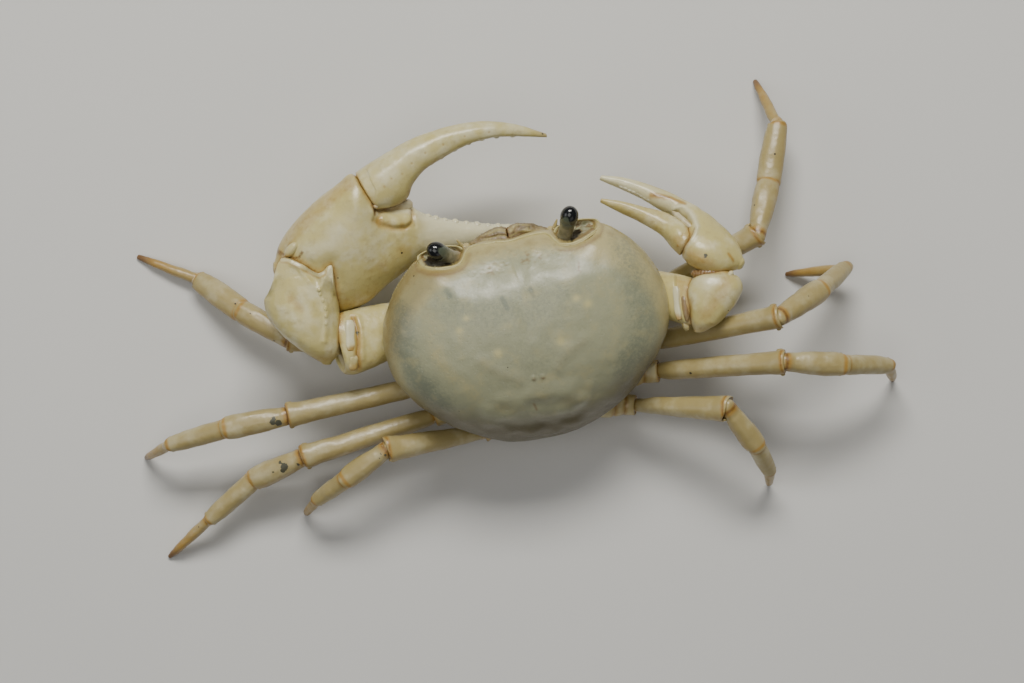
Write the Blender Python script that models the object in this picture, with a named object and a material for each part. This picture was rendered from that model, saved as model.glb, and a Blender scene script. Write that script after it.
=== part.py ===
"""Freshwater crab (Geothelphusa ancylophallus), adult male, a still life-size model.

The crab is drawn in millimetres and brought to metres at the end. +X is the crab's right,
+Y is forward, +Z is up, and the toes stand on z = 0.
"""
import math

import bmesh
import bpy
from mathutils import Matrix, Vector

# Body sizes, in millimetres
BODY_HEIGHT = 11.0
BODY_PITCH = math.radians(14.0)
DOME_CENTRE_Y = 1.5
DOME_HEIGHT = 6.4
KEEL_DEPTH = 8.0
FRONT_MARGIN_Z = -0.5
REAR_MARGIN_Z = -3.0
PARTING_Z = -4.4
PARTING_SLOPE = -0.1
ORBIT_PLACE = (7.0, 11.3, 0.2)
ORBIT_SIZE = (2.5, 1.75, 1.5)

# Half of the carapace seen from above, front middle to rear middle
HALF_OUTLINE = (
    (0.0, 11.5), (2.6, 11.8), (4.4, 11.6), (7.0, 11.5), (9.7, 11.3), (11.5, 10.0), (13.2, 8.0),
    (14.6, 5.2), (15.0, 2.6), (14.7, -0.2), (13.3, -3.0), (10.8, -5.9), (7.6, -8.5), (4.2, -10.2),
    (0.0, -10.7),
)

# Joints
GAP = 0.3
OVERRUN = 1.6
LEG_SIDES = 10
TOE_HEIGHT = 0.15
TOE_RADIUS = 0.3
MM = 0.001

# Walking legs: lengths of merus, carpus, propodus and dactylus, and the width of each pair
LEG_LENGTHS = {
    2: (14.0, 6.2, 6.5, 7.0),
    3: (15.2, 6.6, 6.6, 6.8),
    4: (14.6, 6.2, 6.7, 6.9),
    5: (11.2, 5.3, 4.9, 5.4),
}
LEG_GIRTH = {2: 1.0, 3: 1.0, 4: 1.0, 5: 0.92}
HAND_GIRTH = {2: 1.28, 3: 1.0, 4: 1.0, 5: 1.0}

# Pose of each leg: where the merus starts, its heading and rise, those of carpus and propodus,
# and the heading of the dactylus, which falls to the floor. Headings run from straight out
# sideways towards the front, in degrees.
LEG_POSES = {
    ("left", 2): ((-11.6, 1.9, 3.9), (16, 4), (42, -12), (46, -22), 32),
    ("left", 3): ((-11.7, -1.9, 5.2), (-1, 10), (0, -1), (-5, -16), -15),
    ("left", 4): ((-11.5, -5.3, 4.9), (-6, 5), (-13, -18), (-30, -9), -31),
    ("left", 5): ((-6.7, -8.1, 4.4), (2, 22), (-25, -9), (-24, -34), -38),
    ("right", 2): ((13.0, 2.6, 4.3), (18, 16), (64, -24), (69, -9), 100),
    ("right", 3): ((13.1, -2.2, 5.0), (0, 32), (20, -36), (26, -54), 173),
    ("right", 4): ((12.9, -5.4, 5.2), (-7, 28), (-14, -12), (-13, -37), -62),
    ("right", 5): ((9.8, -8.5, 4.7), (-13, 33), (-63, -22), (-70, -46), -90),
}

# Where each coxa is rooted inside the thorax: sideways and forwards for each pair, and its height
COXA_BASE_X = {2: 6.6, 3: 6.6, 4: 6.2, 5: 4.6}
COXA_BASE_Y = {2: 2.2, 3: -1.2, 4: -4.4, 5: -7.0}
COXA_BASE_Z = 5.6
LEG_COXA_GIRTH = 1.55
CLAW_COXA_GIRTH = 2.3

# Claws. A blade's stations run along its frame's x: place, lower edge, upper edge, half thickness
CLAW_BASE = (6.0, 5.6, 5.6)
CLAW_ROOT = (9.8, 5.2, 6.7)
BIG_GIRTH = 1.2
SMALL_GIRTH = 0.9
BIG_MERUS_END = (-18.6, 4.0, 9.8)
SMALL_MERUS_END = (17.0, 1.3, 10.8)
BIG_CARPUS_FRAME = ((-21.1, 2.5, 10.4), 78.5, 5.0, 0.0)
BIG_CARPUS = (
    (0.0, -0.4, 0.7, 0.8), (0.8, -1.1, 2.1, 2.0), (1.8, -1.4, 3.4, 2.7), (3.0, -1.4, 4.9, 3.1),
    (4.5, -1.3, 6.1, 3.3), (6.0, -1.15, 6.6, 3.3), (7.5, -1.05, 6.5, 3.15), (8.6, -1.0, 6.15, 3.0),
    (9.6, -0.95, 5.75, 2.8), (10.9, -0.9, 5.2, 2.4),
)
# Far end of the big carpus from its inner side outwards: spine, notch and slanting crest
BIG_CARPUS_END = (
    (-1.1, 7.5), (-0.9, 8.4), (-0.7, 9.5), (-0.5, 10.3), (-0.25, 10.15), (0.2, 9.65), (0.7, 9.4), (1.2, 9.55),
    (1.8, 9.95), (3.1, 10.6), (4.0, 11.0), (4.5, 11.0), (5.0, 10.4), (5.6, 9.3), (6.2, 8.2), (6.7, 7.4),
)
CREST_HEIGHT = 2.8
SHAPED_FROM = 6.6
BIG_CLAW_FRAME = ((-21.5, 11.2, 9.4), 1.5, -7.0, 25.0)
BIG_PALM = (
    (-3.0, 1.2, 3.0, 1.0), (-2.2, -0.2, 4.6, 2.1), (-0.8, -1.8, 6.1, 3.0), (0.8, -3.2, 7.4, 3.5),
    (3.0, -4.0, 8.8, 3.8), (5.2, -3.7, 9.9, 3.7), (6.7, -3.0, 10.6, 3.5), (7.5, -2.5, 9.6, 3.3),
    (8.6, -1.8, 7.1, 3.0), (10.4, -0.9, 6.4, 2.5), (12.0, -0.3, 5.9, 2.0), (13.2, -0.1, 4.7, 1.7),
    (15.0, 0.0, 3.7, 1.4), (17.5, -0.1, 2.7, 1.15), (20.0, -0.2, 1.8, 0.9), (22.4, -0.3, 1.2, 0.65),
    (24.3, -0.05, 0.4, 0.3),
)
BIG_FINGER = (
    ((7.2, 10.6), (8.6, 6.4), 2.6), ((8.5, 11.2), (10.3, 6.4), 2.6), ((10.0, 11.8), (11.9, 7.1), 2.4),
    ((11.4, 12.3), (12.7, 8.4), 2.1), ((12.8, 12.8), (14.3, 9.7), 1.8), ((14.7, 13.2), (16.4, 10.5), 1.55),
    ((17.4, 13.5), (19.2, 11.3), 1.3), ((20.8, 13.3), (21.8, 11.4), 1.1), ((24.4, 12.2), (24.8, 10.8), 0.8),
    ((27.4, 10.5), (27.4, 10.1), 0.25),
)
SMALL_CARPUS_FRAME = ((17.8, -2.0, 11.6), 78.5, 3.0, 0.0)
SMALL_CARPUS = (
    (0.0, -0.6, 0.8, 0.7), (0.8, -1.9, 1.1, 1.5), (1.8, -2.8, 1.3, 1.9), (3.0, -3.7, 1.5, 2.1),
    (4.4, -4.3, 1.4, 2.1), (5.4, -4.0, 0.9, 1.8), (6.0, -3.0, -0.6, 0.9),
)
# Spine low on the small carpus: its foot, its tip and their radii
SMALL_SPINE = ((4.6, 0.5, -0.4), (6.1, 1.5, -1.0), 0.7, 0.12)
SMALL_CLAW_FRAME = ((22.3, 4.4, 11.9), 141.0, -8.0, 38.0)
SMALL_PALM = (
    (-0.9, -0.9, 0.3, 0.7), (0.0, -1.9, 1.3, 1.3), (1.4, -2.8, 2.2, 1.8), (3.0, -3.4, 2.6, 2.0),
    (4.4, -3.9, 2.2, 2.0), (5.3, -4.0, 1.0, 1.8), (6.3, -4.1, -1.6, 1.5), (8.0, -4.2, -2.2, 1.2),
    (10.2, -4.2, -2.3, 1.0), (12.2, -3.9, -2.4, 0.85), (14.4, -3.3, -2.2, 0.65), (16.4, -2.4, -1.9, 0.3),
)
SMALL_FINGER = (
    ((5.0, -0.3), (5.3, 1.9), 1.4), ((6.2, -1.1), (6.2, 1.6), 1.4), ((8.0, -1.55), (7.6, 0.9), 1.15),
    ((10.4, -1.0), (10.2, 0.6), 0.9), ((12.8, -0.3), (12.7, 0.7), 0.7), ((15.1, 0.5), (15.0, 0.9), 0.28),
)

# Teeth of the big claw's fingers: how many, and the height of the largest
PALM_TEETH = (9, 0.3)
FINGER_TEETH = (7, 0.22)

# Eyes, in the body's frame: root and tip of the stalk with its cornea
EYES = {"left": ((-5.7, 10.7, 0.5), (-8.3, 12.9, 2.2)), "right": ((5.5, 10.4, 0.5), (6.9, 14.1, 2.8))}
EYESTALK_RADIUS = 0.78
CORNEA_RADIUS = 0.95
CORNEA_LENGTH = 1.7

CREAM = (0.80, 0.72, 0.52, 1.0)
SHELL_WHITE = (0.78, 0.76, 0.66, 1.0)
LEG_CREAM = (0.76, 0.66, 0.44, 1.0)
AMBER = (0.55, 0.38, 0.18, 1.0)
BLACK = (0.02, 0.02, 0.02, 1.0)
STALK_GREY = (0.45, 0.46, 0.36, 1.0)

model = None
cutters = None


def start_scene():
    """Empty the scene and make the collections."""
    global model, cutters
    for thing in list(bpy.data.objects):
        bpy.data.objects.remove(thing)
    model = bpy.data.collections.new("freshwater_crab")
    cutters = bpy.data.collections.new("cutters")
    for collection in (model, cutters):
        bpy.context.scene.collection.children.link(collection)


def finish(name, colour, roughness):
    """A plain Principled material."""
    material = bpy.data.materials.new(name)
    material.use_nodes = True
    shader = material.node_tree.nodes["Principled BSDF"]
    shader.inputs["Base Color"].default_value = colour
    shader.inputs["Roughness"].default_value = roughness
    shader.inputs["Metallic"].default_value = 0.0
    material.diffuse_color = colour
    return material


def add_object(name, bm, place=None, colour=CREAM, roughness=0.4, collection=None):
    """Turn a bmesh drawn in its own frame into an object placed by a matrix."""
    bmesh.ops.recalc_face_normals(bm, faces=bm.faces)
    mesh = bpy.data.meshes.new(name)
    bm.to_mesh(mesh)
    bm.free()
    mesh.shade_smooth()
    thing = bpy.data.objects.new(name, mesh)
    (collection or model).objects.link(thing)
    if collection is cutters:
        thing.hide_render = True
        thing.display_type = "WIRE"
    else:
        mesh.materials.append(finish(name, colour, roughness))
    if place is not None:
        thing.matrix_world = place
    return thing


def frame(origin, heading, rise, roll=0.0):
    """x runs along the piece, y is its left or upper edge, z is its outer face."""
    turn = Matrix.Rotation(math.radians(heading), 4, "Z")
    lift = Matrix.Rotation(-math.radians(rise), 4, "Y")
    tip = Matrix.Rotation(math.radians(roll), 4, "X")
    return Matrix.Translation(Vector(origin)) @ turn @ lift @ tip


def frame_between(start, end, roll=0.0):
    """A frame at start whose x points to end."""
    run = Vector(end) - Vector(start)
    heading = math.degrees(math.atan2(run.y, run.x))
    rise = math.degrees(math.atan2(run.z, math.hypot(run.x, run.y)))
    return frame(start, heading, rise, roll)


def rounded(angle, power):
    """A point of a unit superellipse."""
    c, s = math.cos(angle), math.sin(angle)
    return math.copysign(abs(c) ** (2 / power), c), math.copysign(abs(s) ** (2 / power), s)


def loft(sections, sides=LEG_SIDES, power=2.0, strip_end=False):
    """A closed skin over sections, each a centre with its two half axes.

    The far end is one face, or a strip of faces from edge to edge where the end is shaped later.
    """
    bm = bmesh.new()
    rings = []
    for centre, across, up in sections:
        ring = []
        for k in range(sides):
            a, b = rounded(2 * math.pi * (k + 0.5) / sides, power)
            ring.append(bm.verts.new(centre + across * a + up * b))
        rings.append(ring)
    for lower, upper in zip(rings, rings[1:]):
        for k in range(sides):
            nxt = (k + 1) % sides
            bm.faces.new((lower[k], lower[nxt], upper[nxt], upper[k]))
    bm.faces.new(list(reversed(rings[0])))
    if not strip_end:
        bm.faces.new(rings[-1])
        return bm
    far = rings[-1]
    for k in range(sides // 2 - 1):
        bm.faces.new((far[k], far[k + 1], far[sides - 2 - k], far[sides - 1 - k]))
    return bm


def straight_sections(stations):
    """Sections square to x: place along x, half thickness, half height, and an optional lift."""
    for along, thick, high, *lift in stations:
        centre = Vector((along, 0.0, lift[0] if lift else 0.0))
        yield centre, Vector((0.0, thick, 0.0)), Vector((0.0, 0.0, high))


def blade_sections(stations, grow=0.0):
    """Sections of a claw piece from its edges: (place, lower, upper, half thickness) or two edge points."""
    for station in stations:
        if len(station) == 4:
            along, low, high, thick = station
            lower, upper = Vector((along, low, 0.0)), Vector((along, high, 0.0))
        else:
            upper, lower = Vector((*station[0], 0.0)), Vector((*station[1], 0.0))
            thick = station[2]
        half = (upper - lower) / 2
        length = max(half.length, 0.01)
        yield (upper + lower) / 2, half * (length + grow) / length, Vector((0.0, 0.0, thick + grow))


def ramp(value, low, high):
    """0 below low, 1 above high, and a smooth step between."""
    t = min(max((value - low) / (high - low), 0.0), 1.0)
    return t * t * (3.0 - 2.0 * t)


def between(value, table):
    """The second number of a table for a value of the first."""
    for (a, b), (c, d) in zip(table, table[1:]):
        if value <= c:
            return b + (d - b) * max(value - a, 0.0) / (c - a)
    return table[-1][1]


def big_wrist(grow=0.0):
    """The big carpus: a swollen wedge whose far end has a high slanting crest, a notch and a spine."""
    bm = loft(blade_sections(BIG_CARPUS, grow), 26, 2.4, True)
    reach = BIG_CARPUS[-1][0] - SHAPED_FROM
    for vert in bm.verts:
        x, y, z = vert.co
        z += ramp(x, 7.0, 9.6) * ramp(z, 0.2, 1.3) * max(CREST_HEIGHT + grow - z, 0.0)
        if x > SHAPED_FROM:
            x = SHAPED_FROM + (x - SHAPED_FROM) * (between(y, BIG_CARPUS_END) + grow - SHAPED_FROM) / reach
        z += ramp(x, 8.9, 10.3) * ramp(-y, -0.7, -0.1) * 0.8 * (CREST_HEIGHT - 0.3 - z)
        vert.co = (x, y, z)
    return bm


def small_wrist(grow=0.0):
    return loft(blade_sections(SMALL_CARPUS, grow), 18, 2.3)


def trim(bm, point, normal):
    """Cut away what lies past a plane on its normal's side, and close the cut."""
    everything = bm.verts[:] + bm.edges[:] + bm.faces[:]
    bmesh.ops.bisect_plane(bm, geom=everything, dist=1e-5, plane_co=point, plane_no=normal, clear_outer=True)
    rim = [edge for edge in bm.edges if edge.is_boundary]
    bmesh.ops.holes_fill(bm, edges=rim, sides=0)


def trim_world(bm, place, point, normal):
    """The same cut, with the plane given in the crab's frame."""
    back = place.inverted()
    trim(bm, back @ Vector(point), back.to_3x3() @ Vector(normal))


def keep_largest(thing):
    """Keep only an object's largest closed surface."""
    bm = bmesh.new()
    bm.from_mesh(thing.data)
    groups = []
    seen = set()
    for face in bm.faces:
        if face in seen:
            continue
        group = []
        stack = [face]
        seen.add(face)
        while stack:
            here = stack.pop()
            group.append(here)
            for edge in here.edges:
                for other in edge.link_faces:
                    if other not in seen:
                        seen.add(other)
                        stack.append(other)
        groups.append(group)
    groups.sort(key=lambda group: sum(face.calc_area() for face in group), reverse=True)
    loose = [face for group in groups[1:] for face in group]
    if loose:
        bmesh.ops.delete(bm, geom=loose, context="FACES")
    bm.to_mesh(thing.data)
    bm.free()


def combine(target, others, operation):
    """Join other solids to a node, or cut them from it, and remove them."""
    group = bpy.data.collections.new("operands")
    bpy.context.scene.collection.children.link(group)
    for other in others:
        group.objects.link(other)
    step = target.modifiers.new("combine", "BOOLEAN")
    step.operand_type = "COLLECTION"
    step.collection = group
    step.operation = operation
    step.solver = "EXACT"
    bpy.context.view_layer.update()
    evaluated = target.evaluated_get(bpy.context.evaluated_depsgraph_get())
    mesh = bpy.data.meshes.new_from_object(evaluated)
    mesh.name = target.name
    target.modifiers.clear()
    target.data = mesh
    for other in others:
        bpy.data.objects.remove(other)
    bpy.data.collections.remove(group)
    keep_largest(target)


def outline_radius(azimuth):
    """Distance from the dome's centre to the carapace margin, by smooth steps between its points."""
    polar = []
    for x, y in HALF_OUTLINE:
        polar.append((math.atan2(x, y - DOME_CENTRE_Y), math.hypot(x, y - DOME_CENTRE_Y)))
    want = abs(azimuth)
    for i in range(len(polar) - 1):
        (a0, r0), (a1, r1) = polar[i], polar[i + 1]
        if want <= a1 or i == len(polar) - 2:
            before = polar[max(i - 1, 0)]
            after = polar[min(i + 2, len(polar) - 1)]
            slope0 = (r1 - before[1]) / (a1 - before[0]) if i else 0.0
            slope1 = (after[1] - r0) / (after[0] - a0) if i + 2 < len(polar) else 0.0
            t = min(max((want - a0) / (a1 - a0), 0.0), 1.0)
            span = a1 - a0
            h00, h10 = 2 * t**3 - 3 * t**2 + 1, t**3 - 2 * t**2 + t
            h01, h11 = -2 * t**3 + 3 * t**2, t**3 - t**2
            return h00 * r0 + h10 * span * slope0 + h01 * r1 + h11 * span * slope1
    return polar[-1][1]


def shell_point(azimuth, elevation, grow=0.0):
    """A point of the whole body's surface, in the body's frame."""
    front = max(math.cos(azimuth), 0.0) ** 2
    rear = max(-math.cos(azimuth), 0.0) ** 2
    upper = elevation >= 0.0
    power = 2.5 - 0.45 * front - 0.1 * rear if upper else 1.4 + 0.15 * front
    height = DOME_HEIGHT if upper else KEEL_DEPTH
    share = abs(math.cos(elevation)) ** (2 / power)
    rise = math.copysign(abs(math.sin(elevation)) ** (2 / power), elevation)
    reach = share * (outline_radius(azimuth) + grow)
    margin = FRONT_MARGIN_Z * front + REAR_MARGIN_Z * rear
    z = margin * share**2 + rise * (height + grow)
    return Vector((reach * math.sin(azimuth), DOME_CENTRE_Y + reach * math.cos(azimuth), z))


def shell_mesh(segments=56, rings=26, grow=0.0):
    """The whole body as one closed form, from a sphere."""
    bm = bmesh.new()
    bmesh.ops.create_uvsphere(bm, u_segments=segments, v_segments=rings, radius=1.0)
    for vert in bm.verts:
        azimuth = math.atan2(vert.co.x, vert.co.y)
        elevation = math.asin(max(-1.0, min(1.0, vert.co.z)))
        vert.co = shell_point(azimuth, elevation, grow)
    return bm


def body_place():
    return Matrix.Translation((0.0, 0.0, BODY_HEIGHT)) @ Matrix.Rotation(BODY_PITCH, 4, "X")


def shell_cutter(grow=GAP):
    """The body's form grown by the gap, to clear what lies against it."""
    return add_object("shell_clearance", shell_mesh(40, 20, grow), body_place(), collection=cutters)


def parting_plane(side):
    """The seam between carapace and thorax, half a gap to one side."""
    normal = Vector((0.0, -PARTING_SLOPE, 1.0)).normalized()
    return Vector((0.0, 0.0, PARTING_Z)) + normal * side * GAP / 2, normal


def carapace():
    """The domed back shield with its two orbits and the pale bead of its front margin."""
    bm = shell_mesh()
    point, normal = parting_plane(1)
    trim(bm, point, -normal)
    shield = add_object("carapace", bm, body_place(), SHELL_WHITE, 0.35)
    sockets = []
    for side in (-1, 1):
        bm = bmesh.new()
        bmesh.ops.create_uvsphere(bm, u_segments=20, v_segments=12, radius=1.0)
        place = (side * ORBIT_PLACE[0], ORBIT_PLACE[1], ORBIT_PLACE[2])
        for vert in bm.verts:
            vert.co = Vector((vert.co[i] * ORBIT_SIZE[i] + place[i] for i in range(3)))
        sockets.append(add_object("socket", bm, body_place(), collection=cutters))
    combine(shield, sockets, "DIFFERENCE")
    return shield


def coxa_solid(base, root, towards, girth):
    """The short, stout first joints of a limb, from inside the thorax to the merus."""
    place = frame_between(base, root)
    run = (Vector(root) - Vector(base)).length
    stations = (
        (-1.0, girth * 0.9, girth * 0.9), (run * 0.35, girth * 1.1, girth * 1.1), (run * 0.62, girth, girth),
        (run * 0.8, girth * 0.72, girth * 0.78), (run + OVERRUN, girth * 0.7, girth * 0.8),
    )
    bm = loft(straight_sections(stations), 10)
    bend = ((Vector(root) - Vector(base)).normalized() + towards.normalized()).normalized()
    trim_world(bm, place, Vector(root) - bend * GAP / 2, bend)
    return add_object("coxa", bm, place, collection=cutters)


def direction(side, heading, rise):
    """A unit vector from a heading measured outwards from the crab's side."""
    h, r = math.radians(heading), math.radians(rise)
    return Vector((side * math.cos(h) * math.cos(r), math.sin(h) * math.cos(r), math.sin(r)))


def leg_joints(side_name, pair):
    """The places of a leg's joints: root, knee, wrist, ankle and toe."""
    side = -1 if side_name == "left" else 1
    root, merus, carpus, propodus, last_heading = LEG_POSES[(side_name, pair)]
    lengths = LEG_LENGTHS[pair]
    joints = [Vector(root)]
    for length, (heading, rise) in zip(lengths, (merus, carpus, propodus)):
        joints.append(joints[-1] + direction(side, heading, rise) * length)
    fall = math.asin(min(0.999, (joints[-1].z - TOE_HEIGHT) / lengths[3]))
    joints.append(joints[-1] + direction(side, last_heading, -math.degrees(fall)) * lengths[3])
    return joints


def segment_stations(kind, length, girth, hand):
    """Half thickness and half height along each segment."""
    if kind == "merus":
        rows = ((-OVERRUN, 0.72, 0.85), (0.9, 0.9, 1.1), (length * 0.35, 1.08, 1.42),
                (length * 0.7, 1.12, 1.45), (length - 1.0, 1.3, 1.5), (length + OVERRUN, 1.36, 1.4))
    elif kind == "carpus":
        rows = ((-OVERRUN, 0.95, 1.05), (0.8, 1.0, 1.1), (length * 0.45, 1.22, 1.28),
                (length - 1.3, 1.28, 1.3), (length + OVERRUN, 0.8, 0.95))
    elif kind == "propodus":
        rows = ((-OVERRUN, 0.82 * hand, 0.9), (0.8, 0.9 * hand, 1.0), (length * 0.5, 1.0 * hand, 1.1),
                (length - 1.0, 0.82 * hand, 0.9), (length + OVERRUN, 0.72, 0.8))
    else:
        rows = ((-OVERRUN, 0.6, 0.7), (0.7, 0.62, 0.72), (length * 0.4, 0.56, 0.64, 0.12),
                (length * 0.75, 0.42, 0.46, 0.12), (length, TOE_RADIUS, TOE_RADIUS),
                (length + 0.25, 0.2, 0.2))
    return [(row[0], row[1] * girth, row[2] * girth, *row[3:]) for row in rows]


def walking_leg(side_name, pair):
    """The four free segments of a walking leg, parted square across each bend."""
    joints = leg_joints(side_name, pair)
    runs = [(b - a).normalized() for a, b in zip(joints, joints[1:])]
    side = -1 if side_name == "left" else 1
    base = coxa_base(side, pair)
    before = (joints[0] - base).normalized()
    for k, kind in enumerate(("merus", "carpus", "propodus", "dactylus")):
        length = LEG_LENGTHS[pair][k]
        place = frame_between(joints[k], joints[k + 1])
        stations = segment_stations(kind, length, LEG_GIRTH[pair], HAND_GIRTH[pair])
        bm = loft(straight_sections(stations), LEG_SIDES, 2.2)
        bend = (before + runs[k]).normalized()
        trim_world(bm, place, joints[k] + bend * GAP / 2, -bend)
        if k < 3:
            bend = (runs[k] + runs[k + 1]).normalized()
            trim_world(bm, place, joints[k + 1] - bend * GAP / 2, bend)
        else:
            trim_world(bm, place, (0.0, 0.0, 0.0), (0.0, 0.0, -1.0))
        add_object(f"leg_{side_name}_{pair}_{kind}", bm, place, LEG_CREAM, 0.45)
        before = runs[k]


def coxa_base(side, pair):
    """Where a walking leg's coxa is rooted, inside the thorax."""
    return Vector((side * COXA_BASE_X[pair], COXA_BASE_Y[pair], COXA_BASE_Z))


def claw_base(side):
    return Vector((side * CLAW_BASE[0], CLAW_BASE[1], CLAW_BASE[2]))


def thorax():
    """Sternum and side walls, with the coxae of every limb joined to them."""
    bm = shell_mesh()
    point, normal = parting_plane(-1)
    trim(bm, point, normal)
    trunk = add_object("thorax", bm, body_place(), CREAM, 0.45)
    stubs = []
    for side_name, pair in LEG_POSES:
        side = -1 if side_name == "left" else 1
        joints = leg_joints(side_name, pair)
        girth = LEG_COXA_GIRTH * LEG_GIRTH[pair]
        stubs.append(coxa_solid(coxa_base(side, pair), joints[0], joints[1] - joints[0], girth))
    for side, end in ((-1, BIG_MERUS_END), (1, SMALL_MERUS_END)):
        root = Vector((side * CLAW_ROOT[0], CLAW_ROOT[1], CLAW_ROOT[2]))
        stubs.append(coxa_solid(claw_base(side), root, Vector(end) - root, CLAW_COXA_GIRTH))
    combine(trunk, stubs, "UNION")
    shield = add_object("shield_clearance", shell_mesh(56, 26, GAP), body_place(), collection=cutters)
    bm = bmesh.new()
    bm.from_mesh(shield.data)
    point, normal = parting_plane(-1)
    trim(bm, point, -normal)
    bm.to_mesh(shield.data)
    bm.free()
    combine(trunk, [shield], "DIFFERENCE")
    return trunk


def pleon():
    """The narrow tail folded under the sternum: overlapping plates that narrow to the telson."""
    plates = ((-9.9, -8.8, 3.2, 3.4), (-8.8, -7.2, 3.6, 3.7), (-7.2, -5.3, 3.7, 3.2), (-5.3, -3.4, 3.1, 2.6),
              (-3.4, -1.4, 2.5, 2.2), (-1.4, 0.9, 2.1, 1.8), (0.9, 3.1, 1.6, 0.6))
    sections = []
    for start, end, wide, narrow in plates:
        for y, half, proud in ((start + 0.05, wide, 0.55), (end - 0.25, narrow, 0.85)):
            azimuth = math.pi if y < DOME_CENTRE_Y else 0.0
            depth = belly_depth(y, azimuth)
            centre = Vector((0.0, y, depth + 0.6 - proud))
            sections.append((centre, Vector((half, 0.0, 0.0)), Vector((0.0, 0.0, 0.9))))
    tail = add_object("pleon", loft(sections, 14, 3.0), body_place(), CREAM, 0.45)
    combine(tail, [shell_cutter()], "DIFFERENCE")
    return tail


def belly_depth(y, azimuth):
    """Height of the underside on the middle line, by halving."""
    low, high = -math.pi / 2, 0.0
    for _ in range(40):
        middle = (low + high) / 2
        reach = abs(shell_point(azimuth, middle).y - DOME_CENTRE_Y)
        if reach < abs(y - DOME_CENTRE_Y):
            low = middle
        else:
            high = middle
    return shell_point(azimuth, low).z


def face_point(x, z):
    """The face below the front margin at a side place and a height, by halving."""
    y = 9.0
    for _ in range(12):
        azimuth = math.atan2(x, y - DOME_CENTRE_Y)
        low, high = -math.pi / 2, 0.0
        for _ in range(30):
            middle = (low + high) / 2
            if shell_point(azimuth, middle).z < z:
                low = middle
            else:
                high = middle
        y = shell_point(azimuth, low).y
    return Vector((x, y, z))


def mouthparts():
    """The third maxillipeds: two broad plates that close the mouth side by side."""
    for side, name in ((-1, "left"), (1, "right")):
        rows = ((-3.3, 1.5, 0.4), (-3.8, 1.75, 0.7), (-4.7, 1.8, 0.8), (-5.2, 1.75, 0.65), (-6.2, 1.65, 0.75),
                (-7.0, 1.3, 0.6))
        sections = []
        for z, half, proud in rows:
            centre = face_point(side * (0.2 + half), z)
            outward = Vector((0.0, 0.75, -0.66))
            sections.append((centre + outward * (proud - 0.6), Vector((half, 0.0, 0.0)), outward * 0.75))
        plate = add_object(f"maxilliped_{name}", loft(sections, 12, 3.0), body_place(), CREAM, 0.45)
        combine(plate, [shell_cutter()], "DIFFERENCE")


def feelers():
    """Antennules folded under the front, and the short antennae beside the orbits."""
    for side, name in ((-1, "left"), (1, "right")):
        folded = ((0.25, 11.3, -2.1, 0.75), (0.7, 11.6, -2.1, 0.9), (1.7, 11.65, -2.15, 0.85),
                  (2.8, 11.4, -2.2, 0.7), (3.7, 11.1, -2.2, 0.5), (4.1, 10.9, -2.2, 0.3))
        sections = []
        for x, y, z, radius in folded:
            centre = Vector((side * x, y, z))
            sections.append((centre, Vector((0.0, radius, 0.0)), Vector((0.0, 0.0, radius * 0.7))))
        folded_feeler = add_object(f"antennule_{name}", loft(sections, 10), body_place(), AMBER, 0.5)
        combine(folded_feeler, [shell_cutter()], "DIFFERENCE")
        start, end = Vector((side * 4.2, 10.2, -2.3)), Vector((side * 5.6, 12.9, -1.0))
        length = (end - start).length
        stations = ((0.0, 0.75, 0.6), (length * 0.35, 0.7, 0.55), (length * 0.5, 0.36, 0.34),
                    (length, 0.26, 0.26))
        place = body_place() @ frame_between(start, end)
        feeler = add_object(f"antenna_{name}", loft(straight_sections(stations), 8), place, CREAM, 0.5)
        combine(feeler, [shell_cutter()], "DIFFERENCE")


def eyes():
    """Short movable stalks set deep in the orbits, each with its black cornea."""
    for name, (root, tip) in EYES.items():
        root, tip = Vector(root), Vector(tip)
        length = (tip - root).length
        place = body_place() @ frame_between(root, tip)
        neck = length - CORNEA_LENGTH
        r = EYESTALK_RADIUS
        stations = ((-0.8, r * 0.9, r * 0.9), (neck * 0.4, r, r), (neck - GAP, r * 1.1, r * 1.1))
        add_object(f"eyestalk_{name}", loft(straight_sections(stations), 14), place, STALK_GREY, 0.3)
        c = CORNEA_RADIUS
        stations = [(neck, r * 1.12, r * 1.12)]
        for k in range(5):
            angle = math.pi / 2 * k / 5
            along = neck + 0.25 + (CORNEA_LENGTH - 0.25) * math.sin(angle)
            stations.append((along, c * math.cos(angle), c * math.cos(angle)))
        add_object(f"cornea_{name}", loft(straight_sections(stations), 14), place, BLACK, 0.08)
    clear_sockets()


def clear_sockets():
    """Bore the seat of each eyestalk in the carapace, a gap wider than the stalk."""
    shield = bpy.data.objects["carapace"]
    bores = []
    for root, tip in EYES.values():
        root, tip = Vector(root), Vector(tip)
        place = body_place() @ frame_between(root, tip)
        r = EYESTALK_RADIUS + GAP
        stations = ((-0.8 - GAP, r, r), (1.0, r, r), (5.5, r * 1.3, r * 1.3))
        bores.append(add_object("eye_seat", loft(straight_sections(stations), 14), place, collection=cutters))
    combine(shield, bores, "DIFFERENCE")


def cone(start, end, wide, narrow, sides=6, place=None):
    """A tooth or spine between two points of its piece's frame."""
    run = Vector(end) - Vector(start)
    bm = bmesh.new()
    bmesh.ops.create_cone(bm, cap_ends=True, segments=sides, radius1=wide, radius2=narrow, depth=run.length)
    turn = Vector((0.0, 0.0, 1.0)).rotation_difference(run).to_matrix().to_4x4()
    middle = Matrix.Translation((Vector(start) + Vector(end)) / 2)
    bmesh.ops.transform(bm, matrix=middle @ turn, verts=bm.verts)
    return add_object("tooth", bm, place, collection=cutters)


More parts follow.
